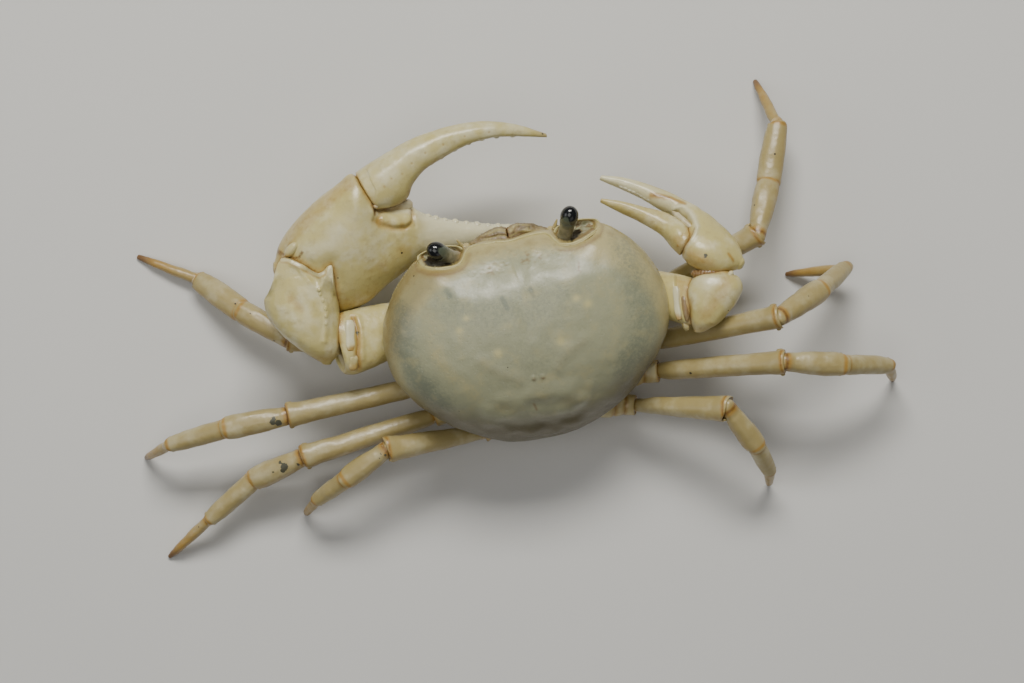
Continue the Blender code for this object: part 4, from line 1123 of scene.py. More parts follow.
def hollow_orbits(form):
    """Sink both orbits into the front, deep enough for their cups."""
    x, y, z = form.points.T
    for cx, cy in ORBITS.values():
        spread = np.hypot((x - cx) / ORBIT_REACH[0], (y - cy) / ORBIT_REACH[1])
        inside = 1.0 - ramp(spread, 0.86, 0.99)
        sunk = np.where(z > ORBIT_FLOOR, inside * (ORBIT_FLOOR - z), 0.0)
        form.points[:, 2] += sunk
        # Amber on the sunk part, partly its own colour and partly painted shade; painted shade on the wall
        # behind the rim
        form.paint("amber", 0.8 * ramp(-sunk, 0.2, 0.8))
        form.paint("deep", ramp(-sunk, 0.2, 0.8) * ramp(-y, -11.1, -10.9))


def orbit_cup(name, line):
    """The hollow in which an eye lies: a thin bowl from the front margin down to the lower rim."""
    low_rim = np.array(LOWER_RIMS[name])
    if name == "left":
        brow, low_rim = line[line[:, 0] < -4.88], low_rim[::-1]
    else:
        brow = line[line[:, 0] > 4.45]
    loop = smooth_rows(np.concatenate((brow[::14], low_rim, brow[:1])), CUP_SIDES + 1)[:-1]
    middle = np.array(CUP_MIDDLES[name])
    away = (loop - middle) * (1.0, 1.0, 0.0)
    away /= np.linalg.norm(away, axis=1)[:, None]
    depths = np.linspace(0.0, 0.985, 40)
    left = (1.0 - depths)[:, None]
    rings = middle + (loop - middle) * left[:, None]
    rings[:, :, 2] = middle[2] + (loop[:, 2] - middle[2]) * left**2.4
    foot = loop + away * 0.18 + (0.0, 0.0, -0.3)
    fall = ramp(-loop[:, 2], 0.3, 0.8)[:, None]
    skirt = [foot + fall * (0.0, -1.5, -1.15), foot + fall * (0.0, -0.5, -0.6)]
    lip = [*skirt, loop + away * 0.2, loop + away * 0.09 + (0.0, 0.0, 0.12)]
    under = (rings + (0.0, 0.0, -0.3))[::-1]
    cup = skin(np.concatenate((under, lip, rings)))
    x, y, z = cup.points.T
    depth, brim = np.zeros(len(x)), np.ones(len(x))
    depth[(len(under) + len(lip)) * CUP_SIDES:-2] = np.repeat(depths, CUP_SIDES)
    brim[:(len(under) + len(skirt)) * CUP_SIDES] = 0.2
    inside = ramp(depth, 0.02, 0.12)
    rough = cup.ripple(0.9, 17)
    cup.swell(0.03 * cup.ripple(0.7, 25) * inside)
    cup.paint("white", 0.75 * inside * ramp(-cup.ripple(1.3, 19), -0.6, 0.3))
    cup.paint("bead", (1.0 - inside) * brim)
    cup.paint("amber", 0.45 * (1.0 - brim)).paint("amber", 0.9 * bell(depth - 0.14, 0.12) * inside)
    cup.paint("stain", 0.85 * bell(depth - 0.07, 0.045) * inside)
    cup.paint("stain", inside * ramp(rough + 0.5 * cup.ripple(0.4, 18), 0.0, 0.5))
    # Painted shade: a near-black hole in the bowl where the camera looks in under the rim
    path, reach = CUP_SHADE_HOLES[name]
    shade_hole = path_distance(columns(x, y - CAMERA_LEAN * z), path)
    return cup.paint("deep", inside * ramp(reach + 0.12 * rough - shade_hole, -0.08, 0.1))


def carapace_rings():
    """Rings from the tucked lower edge over the side margin to the top of the dome."""
    turn = np.linspace(0.0, FULL_TURN, 440, endpoint=False) - math.pi
    azimuth = turn - 0.42 * np.sin(turn)
    seam = parting_elevation(azimuth, 0.08)
    rings = [shell_surface(azimuth, seam * (1.0 - t)) for t in np.linspace(0.0, 1.0, 26, endpoint=False)]
    rings += [shell_surface(azimuth, QUARTER_TURN * t**1.25) for t in np.linspace(0.0, 0.995, 112)]
    tuck = rings[0] * (0.985, 0.985, 1.0) + (0.0, 0.02, -0.05)
    return np.array([tuck * (0.9, 0.9, 1.0), tuck, *rings])


def rim_line(tree, count=260):
    """The front margin's path laid on the shield, from its plan."""
    line = []
    for x, y in smooth_rows(RIM_PATH, count):
        hit, back = None, 0.0
        while hit is None and back < 1.2:
            hit = tree.ray_cast(Vector((x, y - back, HIGH_ABOVE)), DOWN)[0]
            back += 0.05
        line.append((x, y, hit.z))
    line = np.array(line)
    line[:, 2] = np.convolve(np.pad(line[:, 2], 4, mode="edge"), np.ones(9) / 9, mode="valid")
    return line


def carapace():
    """Back shield with both orbits, the raised front margin and the granules of the side margin."""
    shield = skin(carapace_rings())
    smooth = shield.tree()
    line = rim_line(smooth)
    carapace_fields(shield)
    hollow_orbits(shield)
    x, y, z = shield.points.T
    away = shield.away(line[::4, :2])
    high = ramp(z, -0.9, 0.2)
    shield.paint("bead", 0.7 * bell(away, 0.18) * high)
    shield.paint("stain", 0.6 * bell(away - 0.5, 0.12) * high * ramp(np.abs(x), 4.2, 5.0))
    run = np.gradient(line[:, :2], axis=0)
    run /= np.linalg.norm(run, axis=1)[:, None]
    parts = [shield]
    for inset, radius, drop, cream, amber in ((-0.04, 0.13, 0.10, 1.0, 0.2), (0.28, 0.11, 0.07, 0.35, 0.9)):
        route = line + columns(run[:, 1] * inset, -run[:, 0] * inset, max(inset, 0.0) * 0.5 - drop)
        bead = tube(route[::5], radius, 10, 420)
        bead.swell(0.02 * bead.ripple(0.5, 30)).paint("bead", cream)
        parts.append(bead.paint("amber", amber * ramp(bead.ripple(1.1, 31), -1.2, 0.5)))
    parts += [orbit_cup(name, line) for name in ORBITS]
    parts.append(margin_grains(smooth).paint("edge", 1.0).paint("amber", 0.35))
    piece("carapace_shield", together(parts).moved(body_place()), "shell", "carapace")


def margin_grains(tree):
    """Fine granules along both front side margins."""
    draw = np.random.default_rng(7)
    spots, halves = [], []
    for side in SIDES.values():
        for share in np.linspace(0.0, 1.0, 46):
            azimuth = side * (0.80 + 0.72 * share + draw.uniform(-0.006, 0.006))
            spots.append(shell_surface(azimuth, draw.uniform(0.05, 0.07)))
            size = 0.09 * (1.0 - 0.5 * share) * draw.uniform(0.75, 1.15)
            halves.append((size, size, size * 0.8))
    ways = [tree.find_nearest(Vector(spot))[1] for spot in spots]
    return sown(spots, ways, halves, "shell")


# Underside

def direction(side, heading, rise):
    """A unit vector from a heading measured outwards from the crab's side."""
    h, r = math.radians(heading), math.radians(rise)
    return Vector((side * math.cos(h) * math.cos(r), math.sin(h) * math.cos(r), math.sin(r)))


def leg_joints(name, pair):
    """Places of a leg's joints: root, knee, wrist, ankle and toe."""
    root, *poses, last_heading = LEG_POSES[name, pair]
    *lengths, last = LEG_LENGTHS[pair]
    joints = [Vector(root)]
    for length, pose in zip(lengths, poses):
        joints.append(joints[-1] + direction(SIDES[name], *pose) * length)
    fall = math.degrees(math.asin((joints[-1].z - TOE_HEIGHT) / last))
    joints.append(joints[-1] + direction(SIDES[name], last_heading, -fall) * last)
    return joints


def bend_way(first, second):
    """The way halfway between two runs that meet at a joint."""
    return (first.normalized() + second.normalized()).normalized()


def lean_end(rings, joint_x, bend, reach, limit=9.0):
    """Lean the rings near a joint until the last lies in the plane across its bend."""
    x = rings[..., 0]
    beyond = x < joint_x if joint_x <= 0.0 else x > joint_x
    weight = np.where(beyond, 1.0, ramp(-np.abs(x - joint_x), -reach, 0.0))
    shift = -(bend.y * rings[..., 1] + bend.z * rings[..., 2]) / max(bend.x, 0.5)
    rings[..., 0] = x + weight * limit * np.tanh(shift / limit)
    return rings


def coxa_form(base, root, towards, girth):
    """Coxa, basis and ischium: stout rings from the thorax to the limb's first hinge."""
    place = frame_between(base, root)
    run = (root - base).length
    rings = straight_sweep(placed(COXA_ROWS, run), 90, 36, 2.2, girth, girth)
    bend = place.to_3x3().inverted() @ bend_way(root - base, towards)
    form = skin(lean_end(rings, run, bend, 1.4))
    x = form.points[:, 0]
    form.swell(0.03 * form.ripple(1.8, int(girth * 10)))
    form.paint("amber", 0.3 + 0.25 * form.ripple(1.6, 44))
    for share, reach in ((0.56, 0.2), (0.755, 0.18), (1.0, 0.25)):
        form.paint("amber", 0.8 * bell(x - run * share, reach * 2.2))
        form.paint("crease", 0.6 * bell(x - run * share, reach))
    return form.moved(place)


def thorax():
    """Breast with its sutures, and the first rings of every limb."""
    azimuth = np.linspace(0.0, FULL_TURN, 260, endpoint=False)
    seam = parting_elevation(azimuth, -0.08)
    rings = [shell_surface(azimuth, seam - (QUARTER_TURN + seam) * t) for t in np.linspace(0.0, 0.985, 76)]
    lid = rings[0] * (0.96, 0.96, 1.0) + (0.0, 0.05, 0.03)
    form = skin(np.array([lid * (0.9, 0.9, 1.0), lid, *rings]))
    x, y, z = form.points.T
    lift = 0.04 * form.ripple(3.0, 41) + 0.012 * form.ripple(0.8, 42)
    breast = ramp(-z, 5.2, 6.6)
    lane = ramp(np.abs(x), 1.6, 2.4) * breast
    for suture in SUTURES:
        away = y - suture - 0.05 * np.abs(x)
        lift -= 0.26 * bell(away, 0.22) * lane
        form.paint("crease", 0.8 * bell(away, 0.2) * lane)
    lift -= 0.25 * bell(x, 3.0) * ramp(-y, -4.0, -2.0) * breast
    pleural = z - parting_height(y) + 1.0
    flank = ramp(np.abs(x), 5.0, 8.0)
    lift -= 0.13 * bell(pleural, 0.16) * flank
    form.paint("amber", 0.6 * bell(pleural, 0.2) * flank).paint("amber", 0.5 * ramp(pleural, 0.65, 1.0))
    forms = [form.swell(lift).moved(body_place())]
    for name, pair in LEG_POSES:
        root, knee, *_ = leg_joints(name, pair)
        base = on_side(COXA_BASE[pair], SIDES[name])
        forms.append(coxa_form(base, root, knee - root, COXA_GIRTH * LEG_GIRTH[pair]))
    for name, side in SIDES.items():
        base, root = on_side(CLAW_BASE, side), on_side(CLAW_ROOT, side)
        forms.append(coxa_form(base, root, Vector(MERUS_END[name]) - root, CLAW_COXA_GIRTH))
    piece("thorax_plates", together(forms), "underside", "thorax")


def pleon():
    """Seven plates of the folded tail, each lapping over the next towards the telson."""
    share = np.linspace(0.0, 1.0, 26)
    thick = columns(0.0, 0.0 * share, 0.62)
    forms = []
    for k, (start, end, wide, narrow) in enumerate(TAIL_PLATES):
        steps = np.linspace(start - 0.1, end + 0.12, len(share))
        half = wide + (narrow - wide) * share
        if k == len(TAIL_PLATES) - 1:
            half = wide * np.sqrt(np.clip(1.0 - share**2.2, 0.04, 1.0))
        depth = 0.1 - 0.32 * share - 0.06 * np.sin(math.pi * share) + [belly_depth(y) for y in steps]
        rings = sweep(columns(0.0, steps, depth), columns(half, 0.0, 0.0), thick, 56, 3.2)
        form = rounded_skin(rings, 0.05, 0.1)
        x, y, z = form.points.T
        form.swell(0.02 * form.ripple(1.4, 50 + k) - 0.03 * bell(x, 0.15))
        form.paint("amber", 0.7 * bell(y - end - 0.1, 0.3)).paint("crease", 0.7 * bell(y - start, 0.25))
        forms.append(form)
    piece("pleon_plates", together(forms).moved(body_place()), "underside", "pleon")


def mouthparts():
    """Third maxillipeds: ischium, merus and the small palp at its inner corner."""
    outward = np.array((0.0, 0.75, -0.66))
    table = smooth_rows(MOUTH_ROWS, 60)
    thick = np.tile(outward * 0.75, (len(table), 1))
    for name, side in SIDES.items():
        centres = [face_point(side * (0.2 + half), z) + outward * (proud - 0.6) for z, half, proud in table]
        rings = sweep(np.array(centres), columns(table[:, 1], 0.0, 0.0), thick, 44, 2.5)
        plate = rounded_skin(rings, 0.12, 0.12)
        x, y, z = plate.points.T
        plate.swell(0.02 * plate.ripple(0.9, 61) - 0.07 * bell(x - side * 1.1, 0.16) * ramp(-z, 5.0, 5.6))
        plate.paint("crease", 0.8 * bell(z + MOUTH_SEAM, 0.14))
        plate.paint("amber", 0.6 * bell(z + MOUTH_SEAM, 0.4)).paint("amber", 0.5 * bell(np.abs(x) - 0.2, 0.3))
        route = [face_point(side * px, pz) + outward * proud for px, pz, proud in PALP_ROWS]
        palp = tube(route, 0.3, 14, 40).paint("amber", 0.35)
        whole = together([plate, palp]).moved(body_place())
        piece(f"maxilliped_{name}_plates", whole, "underside", f"maxilliped_{name}")


def feelers():
    """Antennules folded into their pits under the brow, and short ringed antennae."""
    table = smooth_rows(FLAP_ROWS, 90)
    half = table[:, 3]
    for name, side in SIDES.items():
        centres = table[:, :3] * (side, 1.0, 1.0)
        rings = sweep(centres, columns(0.0, half, 0.0), columns(0.0, 0.0, half * 0.78), 64, 2.4)
        lobe = rounded_skin(rings, 0.08, 0.12)
        x, y, z = lobe.points.T
        axis = np.interp(np.abs(x), table[:, 0], table[:, 1])
        reach = np.interp(np.abs(x), table[:, 0], half)
        upper = ramp(z, -2.0, -1.5)
        margin = bell(y - axis - reach + 0.13, 0.09)
        fold = y - axis + 0.1 - 0.14 * np.sin(x * 1.7)
        wrinkle = np.sin((y - axis) * 10.0 + 2.4 * lobe.ripple(1.2, 74 + side, (0.45, 1.0, 1.0)))
        lift = 0.06 * lobe.ripple(1.3, 70 + side, (0.6, 1.6, 1.0)) + 0.035 * lobe.ripple(0.42, 73 + side)
        lift += (0.06 * margin + 0.05 * bell(fold - 0.3, 0.14) + 0.04 * wrinkle) * upper
        lift -= 0.08 * bell(fold, 0.16) * upper
        lobe.swell(lift).paint("shade", 0.8 + 0.2 * ramp(lobe.ripple(1.2, 77), -0.8, 0.8))
        # Painted shade in the wrinkles' troughs and along the fold, painted highlight on their crests
        lobe.paint("crease", 0.3 * ramp(-wrinkle, 0.4, 1.0) * upper).paint("crease", 0.9 * bell(x, 0.16))
        lobe.paint("crease", 0.5 * bell(fold, 0.16) * upper * ramp(lobe.ripple(1.0, 78), -0.6, 0.4))
        lobe.paint("bead", 0.45 * ramp(wrinkle, 0.3, 1.0) * upper)
        lobe.paint("bead", 0.5 * margin * upper * ramp(lobe.ripple(0.8, 79), -0.7, 0.6))
        lobe.paint("bead", 0.9 * bell(y - axis + reach * 0.62, 0.15) * ramp(lobe.ripple(0.45, 76), 0.0, 0.5))
        piece(f"antennule_{name}_fold", lobe.moved(body_place()), "membrane", f"antennule_{name}")
        start, end = (on_side(spot, side) for spot in ANTENNA_ENDS)
        length = (end - start).length
        rows = placed(ANTENNA_ROWS, length)
        for k in range(ANTENNA_RINGS):
            along = length * (0.5 + 0.26 * k / (ANTENNA_RINGS - 1))
            width = 0.24 - 0.017 * k
            rows += [(along - 0.05, width, width * 0.95), (along + 0.05, width * 0.86, width * 0.84)]
        feeler = rounded_skin(straight_sweep(rows, 110, 24, 2.0), 0.1, 0.12)
        feeler.paint("shade", 0.35).paint("bead", 0.55).moved(body_place() @ frame_between(start, end))
        piece(f"antenna_{name}_rings", feeler, "membrane", f"antenna_{name}")


def eyes():
    """Short stalks in the orbits, each with a black cornea under the stalk's tongue."""
    for name, (root, tip) in EYES.items():
        root, tip = Vector(root), Vector(tip)
        place = body_place() @ frame_between(root, tip)
        neck = (tip - root).length - CORNEA_LENGTH
        r, c = EYESTALK_RADIUS, CORNEA_RADIUS
        stalk = rounded_skin(straight_sweep(placed(EYESTALK_ROWS, neck), 80, 64, 2.0, r, r), 0.2, 0.1)
        x, y, z = stalk.points.T
        stalk.swell(0.025 * stalk.ripple(0.9, 80) + 0.01 * stalk.ripple(0.3, 81))
        stalk.paint("amber", ramp(-x, -0.9, 0.2)).paint("tip", 0.8 * ramp(x, neck - 0.9, neck))
        piece(f"eyestalk_{name}_skin", stalk.moved(place), "eyestalk", f"eyestalk_{name}")
        rows = [(neck - 0.12, r, r * 0.98), (neck, r * 1.08, r * 1.07), (neck + 0.35, c * 0.98, c * 0.97)]
        for angle in np.linspace(0.1, QUARTER_TURN * 0.96, 9):
            half = c * math.cos(angle)
            rows.append((neck + 0.5 + (CORNEA_LENGTH - 0.5) * math.sin(angle), half, half))
        ball = rounded_skin(straight_sweep(rows, 100, 80, 2.0), 0.05, 0.03)
        x, y, z = ball.points.T
        inward = -y * SIDES[name]
        edge = neck + 0.95 - 1.1 * ramp(inward, -0.25, 0.45) - 0.6 * ramp(-inward, 0.45, 0.9)
        ball.paint("tongue", ramp(edge - x, -0.3, 0.25) * ramp(z, -0.25, 0.35))
        piece(f"cornea_{name}_ball", ball.moved(place), "cornea", f"cornea_{name}")


# Walking legs

def leg_segment(kind, pair, side, before, after, seed):
    """One leg segment in its own frame, leaned at both joints."""
    length = LEG_LENGTHS[pair][LEG_KINDS.index(kind)]
    girth = LEG_GIRTH[pair]
    hand = HAND_GIRTH[pair] if kind == "propodus" else 1.0
    rows = placed(LEG_ROWS[kind], length)
    if kind == "merus" and girth < 1.0:
        rows = [(x, half * (0.9 + 0.26 * ramp(x, 1.0, length * 0.7)), high) for x, half, high in rows]
    rings = straight_sweep(rows, 130, 44, 2.2, girth * hand, girth)
    end = ramp(rings[..., 0], length - 1.6, length - 0.1)
    rings[..., 0] += LIP_LEANS.get(kind, 0.0) * np.clip(rings[..., 2], -0.6, 1.2) * end
    rings = lean_end(rings, 0.0, before, 1.5)
    if after is None:
        rings = round_off(rings, 0.16, 4)
    else:
        rings = lean_end(rings, length, after, 1.7, 0.5 if kind == "merus" else 9.0)
    form = skin(rings)
    x, y, z = form.points.T
    upper = ramp(z, 0.0, 0.5)
    middle = ramp(x, 0.6, 2.0) * ramp(length - x, 0.8, 2.2) * upper
    lift = 0.04 * form.ripple(2.6, seed) + 0.012 * form.ripple(0.8, seed + 1)
    lift += 0.04 * bell(y + 0.15 * side, 0.25) * middle
    if kind in ("merus", "carpus"):
        lift += 0.08 * bell(y - side * 0.85, 0.2) * middle
    if kind == "merus":
        lift += 0.10 * bell(np.hypot(x - length + 0.3, y - side * 1.1), 0.6) * upper
    if kind == "carpus":
        lift -= 0.05 * bell(x - 0.75, 0.3) * upper
    form.swell(lift)
    head, seam, width = LEG_SEAMS[kind]
    form.paint("amber", 0.9 * bell(x, 0.5)).paint("crease", head * bell(x + 0.12, 0.28))
    form.paint("amber", 0.4 * ramp(-y * side, 0.45, 1.1)).paint("amber", 0.36 * ramp(-z, -0.3, 0.7))
    parts = [form]
    if after is None:
        form.paint("amber", 0.46 + 0.3 * ramp(x, length * 0.1, length * 0.8))
        form.paint("horn", ramp(x, length * 0.66, length * 0.97))
    else:
        form.paint("amber", 0.9 * bell(x - length - 0.02, 0.26))
        form.paint("crease", seam * bell(x - length - 0.05, 0.14))
        for edge in (-1, 1):
            ear = kind == "merus" and edge == side
            back, long, tall = (0.42, 0.4, 0.26) if ear else (0.3, 0.26, 0.2)
            spot = (length - back, edge * width * hand * girth, 0.2)
            condyle = pebble(spot, (long * girth, 0.16 * girth, tall * girth), 18, 12)
            parts.append(condyle.paint("amber", 0.3))
    if kind in SPINE_COUNTS:
        parts.append(spinules(form, length, SPINE_COUNTS[kind], seed))
    return together(parts)


def spinules(form, length, count, seed):
    """Small horny points along the lower edges of the last two segments."""
    draw = np.random.default_rng(seed)
    tree = form.tree()
    spots, ways = [], []
    for edge in (-1, 1):
        for k in range(count):
            x = length * (0.25 + 0.62 * k / count + draw.uniform(-0.02, 0.02))
            hit, normal, *_ = tree.ray_cast(Vector((x, edge * 2.0, -1.4)), Vector((0.0, -edge, 0.62)))
            if hit is not None:
                spots.append(hit)
                ways.append(normal + Vector((0.9, 0.0, 0.0)))
    return sown(spots, ways, [(0.06, 0.06, 0.24)] * len(spots), "leg").paint("horn", 0.7)


def joint_plug(place, wide, tall, way):
    """Soft skin that fills the gap of a joint."""
    turn = Vector((1.0, 0.0, 0.0)).rotation_difference(way).to_matrix().to_4x4()
    plug = rounded_skin(straight_sweep(PLUG_ROWS, 40, 36, 2.2, wide, tall), 0.1, 0.1)
    return plug.swell(0.02 * plug.ripple(0.5, 90)).moved(Matrix.Translation(place) @ turn)


def walking_legs():
    """Eight legs of four segments, each leg with the soft skins of its joints."""
    for name, pair in LEG_POSES:
        side, girth = SIDES[name], LEG_GIRTH[pair]
        joints = leg_joints(name, pair)
        ways = [end - start for start, end in zip([on_side(COXA_BASE[pair], side), *joints], joints)]
        bends = [bend_way(first, second) for first, second in zip(ways, ways[1:])]
        plugs = []
        for k, kind in enumerate(LEG_KINDS):
            place = frame_between(joints[k], joints[k + 1])
            back = place.to_3x3().inverted()
            before, after = (*(back @ bend for bend in bends[k:k + 2]), None)[:2]
            form = leg_segment(kind, pair, side, before, after, 100 + 40 * pair + 10 * k + 5 * (side < 0))
            for x, y, reach in DIRT_PATCHES.get((name, pair, kind), ()):
                spread = reach * 1.5 - form.away(((x, y),))
                form.paint("dirt", ramp(spread, 0.0, reach) * ramp(form.points[:, 2], 0.0, 0.4))
            node = f"leg_{name}_{pair}_{kind}"
            form.moved(place)
            form.points[:, 2] = np.maximum(form.points[:, 2], FLOOR_GAP)
            piece(f"{node}_cuticle", form, "leg", node)
            wide, tall = PLUG_SIZES[k]
            hand = HAND_GIRTH[pair] if kind == "dactylus" else 1.0
            plugs.append(joint_plug(joints[k], wide * hand * girth, tall * girth, bends[k]))
        piece(f"leg_{name}_{pair}_membranes", together(plugs), "membrane")


# Claws

def claw_arm(name):
    """Merus of a claw: stout, three-sided, with a bright rim and hinge lobes at its wrist end."""
    side, girth = SIDES[name], MERUS_GIRTH[name]
    root, end = on_side(CLAW_ROOT, side), Vector(MERUS_END[name])
    place = frame_between(root, end)
    rings = straight_sweep(placed(ARM_ROWS, (end - root).length), 170, 110, 2.4, girth, girth)
    bend = place.to_3x3().inverted() @ bend_way(root - on_side(CLAW_BASE, side), end - root)
    form = skin(lean_end(rings, 0.0, bend, 1.6))
    x, y, z = form.points.T
    upper = ramp(z, 0.2, 1.0)
    lift = 0.04 * form.ripple(3.2, 120) + 0.012 * form.ripple(1.0, 121)
    if name == "left":
        lift += form.trace(ARM_MARKS, upper)
        bright = block_lobe((9.15, -2.15, 1.95), (10.1, 0.75, 2.05), 0.52, 0.42)
        across = bright.points[:, 1]
        bright.paint("white", 0.75 - 0.5 * ramp(across, -0.2, 0.7))
        bright.paint("amber", 0.9 * ramp(across, 0.0, 0.8))
        second = block_lobe((9.95, 1.35, 1.8), (10.35, 2.7, 1.25), 0.5, 0.45)
        second.paint("amber", 0.35 + 0.4 * ramp(second.points[:, 1], 2.0, 2.8))
        lobes = [bright, second]
    else:
        sunk = ramp(x - 0.62 * (0.6 - y) - 8.15, 0.1, 0.5) * upper
        lift -= 0.3 * sunk
        form.paint("amber", 0.5 * sunk)
        rim = block_lobe((7.95, 1.0, 1.62), (9.55, -2.1, 1.42), 0.34, 0.3)
        along, across, _ = rim.points.T
        along += 0.22 * ramp(across, -1.8, 1.0) * ramp(8.7 - along, -0.6, 0.4)
        rim.paint("white", 0.75).paint("amber", 0.85 * ramp(-across, 1.2, 2.2))
        lobes = [rim, knob((9.7, -2.2, 0.6), (10.1, -2.9, -0.3), 0.36).paint("amber", 0.4)]
    form.swell(lift).paint("amber", 0.85 * bell(x, 0.8)).paint("amber", 0.3 * ramp(y, 0.6, 2.6))
    return together([form, *lobes]).moved(place)


def blunt_wrist(rings):
    """Give the big wrist its far end: a high slanting crest, a notch and the inner spine."""
    x, y, z = np.moveaxis(rings, -1, 0)
    z = z + ramp(x, 7.0, 9.6) * ramp(z, 0.2, 1.3) * np.maximum(WRIST_CREST - z, 0.0)
    edge_y, edge_x = smooth_rows(WRIST_EDGE, 200).T
    stretch = (np.interp(y, edge_y, edge_x) - WRIST_START) / (CARPUS_ROWS["left"][-1][0] - WRIST_START)
    x = np.where(x > WRIST_START, WRIST_START + (x - WRIST_START) * stretch, x)
    tip = ramp(x, 8.9, 10.3) * ramp(-y, -0.7, -0.1)
    return columns(x, y, z + tip * 0.8 * (WRIST_CREST - 0.3 - z))


def claw_wrist(name):
    """Carpus of a claw, on the big side with its crest, its inner spine and a beaded ridge."""
    if name == "left":
        form = skin(blunt_wrist(rounded(blade_sweep(CARPUS_ROWS[name], 190, 150, 2.4), 0.3, 0.12)))
    else:
        form = rounded_skin(blade_sweep(CARPUS_ROWS[name], 140, 100, 2.3), 0.3, 0.3)
    x, y, z = form.points.T
    upper = ramp(z, 0.3, 1.2)
    lift = 0.04 * form.ripple(3.2, 130) + 0.012 * form.ripple(1.0, 131) + form.trace(WRIST_MARKS[name], upper)
    if name == "left":
        edge = form.away([(along - 0.08, across) for across, along in WRIST_EDGE[6:13]])
        ivory_and_highlight = form.away(((8.6, 1.6), (6.4, 1.4), (4.0, 1.3)))
        # Painted highlight along the crest, and ivory tone with painted highlight on the upper face
        form.paint("white", 0.35 * bell(edge, 0.3) * upper)
        form.paint("white", 0.45 * bell(ivory_and_highlight, 1.0) * upper * ramp(form.ripple(2.0, 132), -0.9, 0.4))
        form.paint("amber", 0.6 * bell(edge - 0.28, 0.16) * upper)
        form.paint("amber", 0.55 * ramp(-x, -2.4, -0.2) * ramp(z, -1.0, 1.5))
        form.paint("amber", 0.5 * ramp(y, 3.8, 6.2) * ramp(-x, -6.5, -3.0))
        tree = form.swell(lift).tree()
        spots, ways, *_ = zip(*(tree.ray_cast(Vector((*spot, HIGH_ABOVE)), DOWN) for spot in WRIST_BEADS))
        extra = sown(spots, ways, [(0.26, 0.2, 0.06)] * len(spots), "claw")
    else:
        form.paint("amber", 0.5 * ramp(-x, -2.0, 0.0)).swell(lift)
        extra = knob((5.7, -2.75, 0.7), (6.2, -3.2, 0.85), 0.28).paint("white", 0.6)
    return together([form, extra]).moved(frame_at(*CARPUS_FRAME[name]))


def wrist_route(claw_place):
    """The wrist's far edge seen from the palm's frame."""
    turn = claw_place.inverted() @ frame_at(*CARPUS_FRAME["left"])
    return [(turn @ Vector((x, y, 2.4)))[:2] for y, x in WRIST_EDGE[2:14]]


def tooth_row(edge, count, size, inward):
    """Low broad teeth along an edge, larger in the middle and run together at their feet."""
    edge = np.array(edge)
    along = (np.arange(count) + 0.5) / count * (len(edge) - 1)
    i = np.minimum(along.astype(int), len(edge) - 2)
    places = edge[i] + (along - i)[:, None] * (edge[i + 1] - edge[i])
    spots, halves = [], []
    for k, (x, y) in enumerate(places):
        odd = k % 2
        tall = size * (0.65 + 0.35 * math.sin(math.pi * (k + 0.5) / count)) * (1.0 if odd else 0.7)
        wide = abs(places[1][0] - places[0][0]) * (0.62 if odd else 0.5)
        spots.append((x, y - inward * 0.25, 0.0))
        halves.append((0.42, wide, tall * 0.6 + 0.25))
    return sown(spots, [(0.0, inward, 0.0)] * count, halves, "claw")


def claw_hand(name):
    """Palm with its fixed finger, the lip and lobes round the movable finger's hinge, and teeth."""
    place = frame_at(*CLAW_FRAME[name])
    form = rounded_skin(blade_sweep(PALM_ROWS[name], 320, 130, 2.2), 0.4, 0.15)
    x, y, z = form.points.T
    upper = ramp(z, -0.3, 0.6)
    lift = 0.05 * form.ripple(4.0, 140) + 0.012 * form.ripple(1.1, 141)
    lift += form.trace(PALM_MARKS[name], upper) + form.trace(PALM_MARKS_ALL_ROUND[name])
    top = [(along, high) for along, low, high, thick in PALM_ROWS[name]]
    parts = [form]
    if name == "left":
        lobe = form.away(((8.9, 5.9), (9.9, 5.4), (11.2, 5.15)))
        dip = form.away(wrist_route(place))
        lift += 0.30 * ramp(-lobe, -0.8, -0.3) * upper - 0.28 * bell(dip, 0.9) * ramp(z, 0.0, 1.0)
        form.paint("amber", 0.6 * bell(dip, 0.5)).paint("crease", 0.75 * bell(dip, 0.2))
        form.paint("amber", 0.5 * ramp(-y, -1.2, 2.6) * ramp(9.0 - x, 0.0, 3.0))
        form.paint("amber", 0.4 * bell(np.hypot((x - 7.5) / 1.6, y - 1.2), 1.4) * upper)
        form.paint("amber", 0.45 * bell(np.hypot((x - 10.4) / 1.5, (y - 2.2) / 1.2), 1.0) * upper)
        # Painted shade on the outer side face below the palm's upper edge
        form.paint("amber", 0.5 * ramp(-form.away(top[:7]), -1.1, -0.3) * ramp(z, -2.2, 0.4))
        # Ivory tone with painted highlight on the palm's upper face
        ivory_and_highlight = np.hypot((x - 3.2) / 4.2, (y - 5.4 - 0.35 * (x - 3.2)) / 1.5)
        form.paint("white", 0.5 * bell(ivory_and_highlight, 1.0) * upper * ramp(form.ripple(2.4, 142), -0.9, 0.4))
        form.paint("white", 0.85 * ramp(x, 11.6, 14.0))
        parts.append(knob((-1.9, 4.1, 1.85), (-0.55, 5.45, 2.15), 0.52, 0.5).paint("white", 0.25))
        teeth = tooth_row(top[11:16], 9, 0.3, 1.0)
    else:
        form.paint("white", 0.6 * ramp(x, 5.6, 8.0) * ramp(y, -4.3, -2.6))
        form.paint("amber", 0.6 * ramp(-y, 3.3, 4.2) * ramp(x, 4.0, 8.0))
        form.paint("amber", 0.6 * ramp(y, 1.2, 2.4))
        teeth = tooth_row([(along, high + 0.02) for along, high in top[8:11]], 9, 0.05, 1.0)
    form.swell(lift)
    return together([*parts, teeth.paint("white", 0.85)]).moved(place)


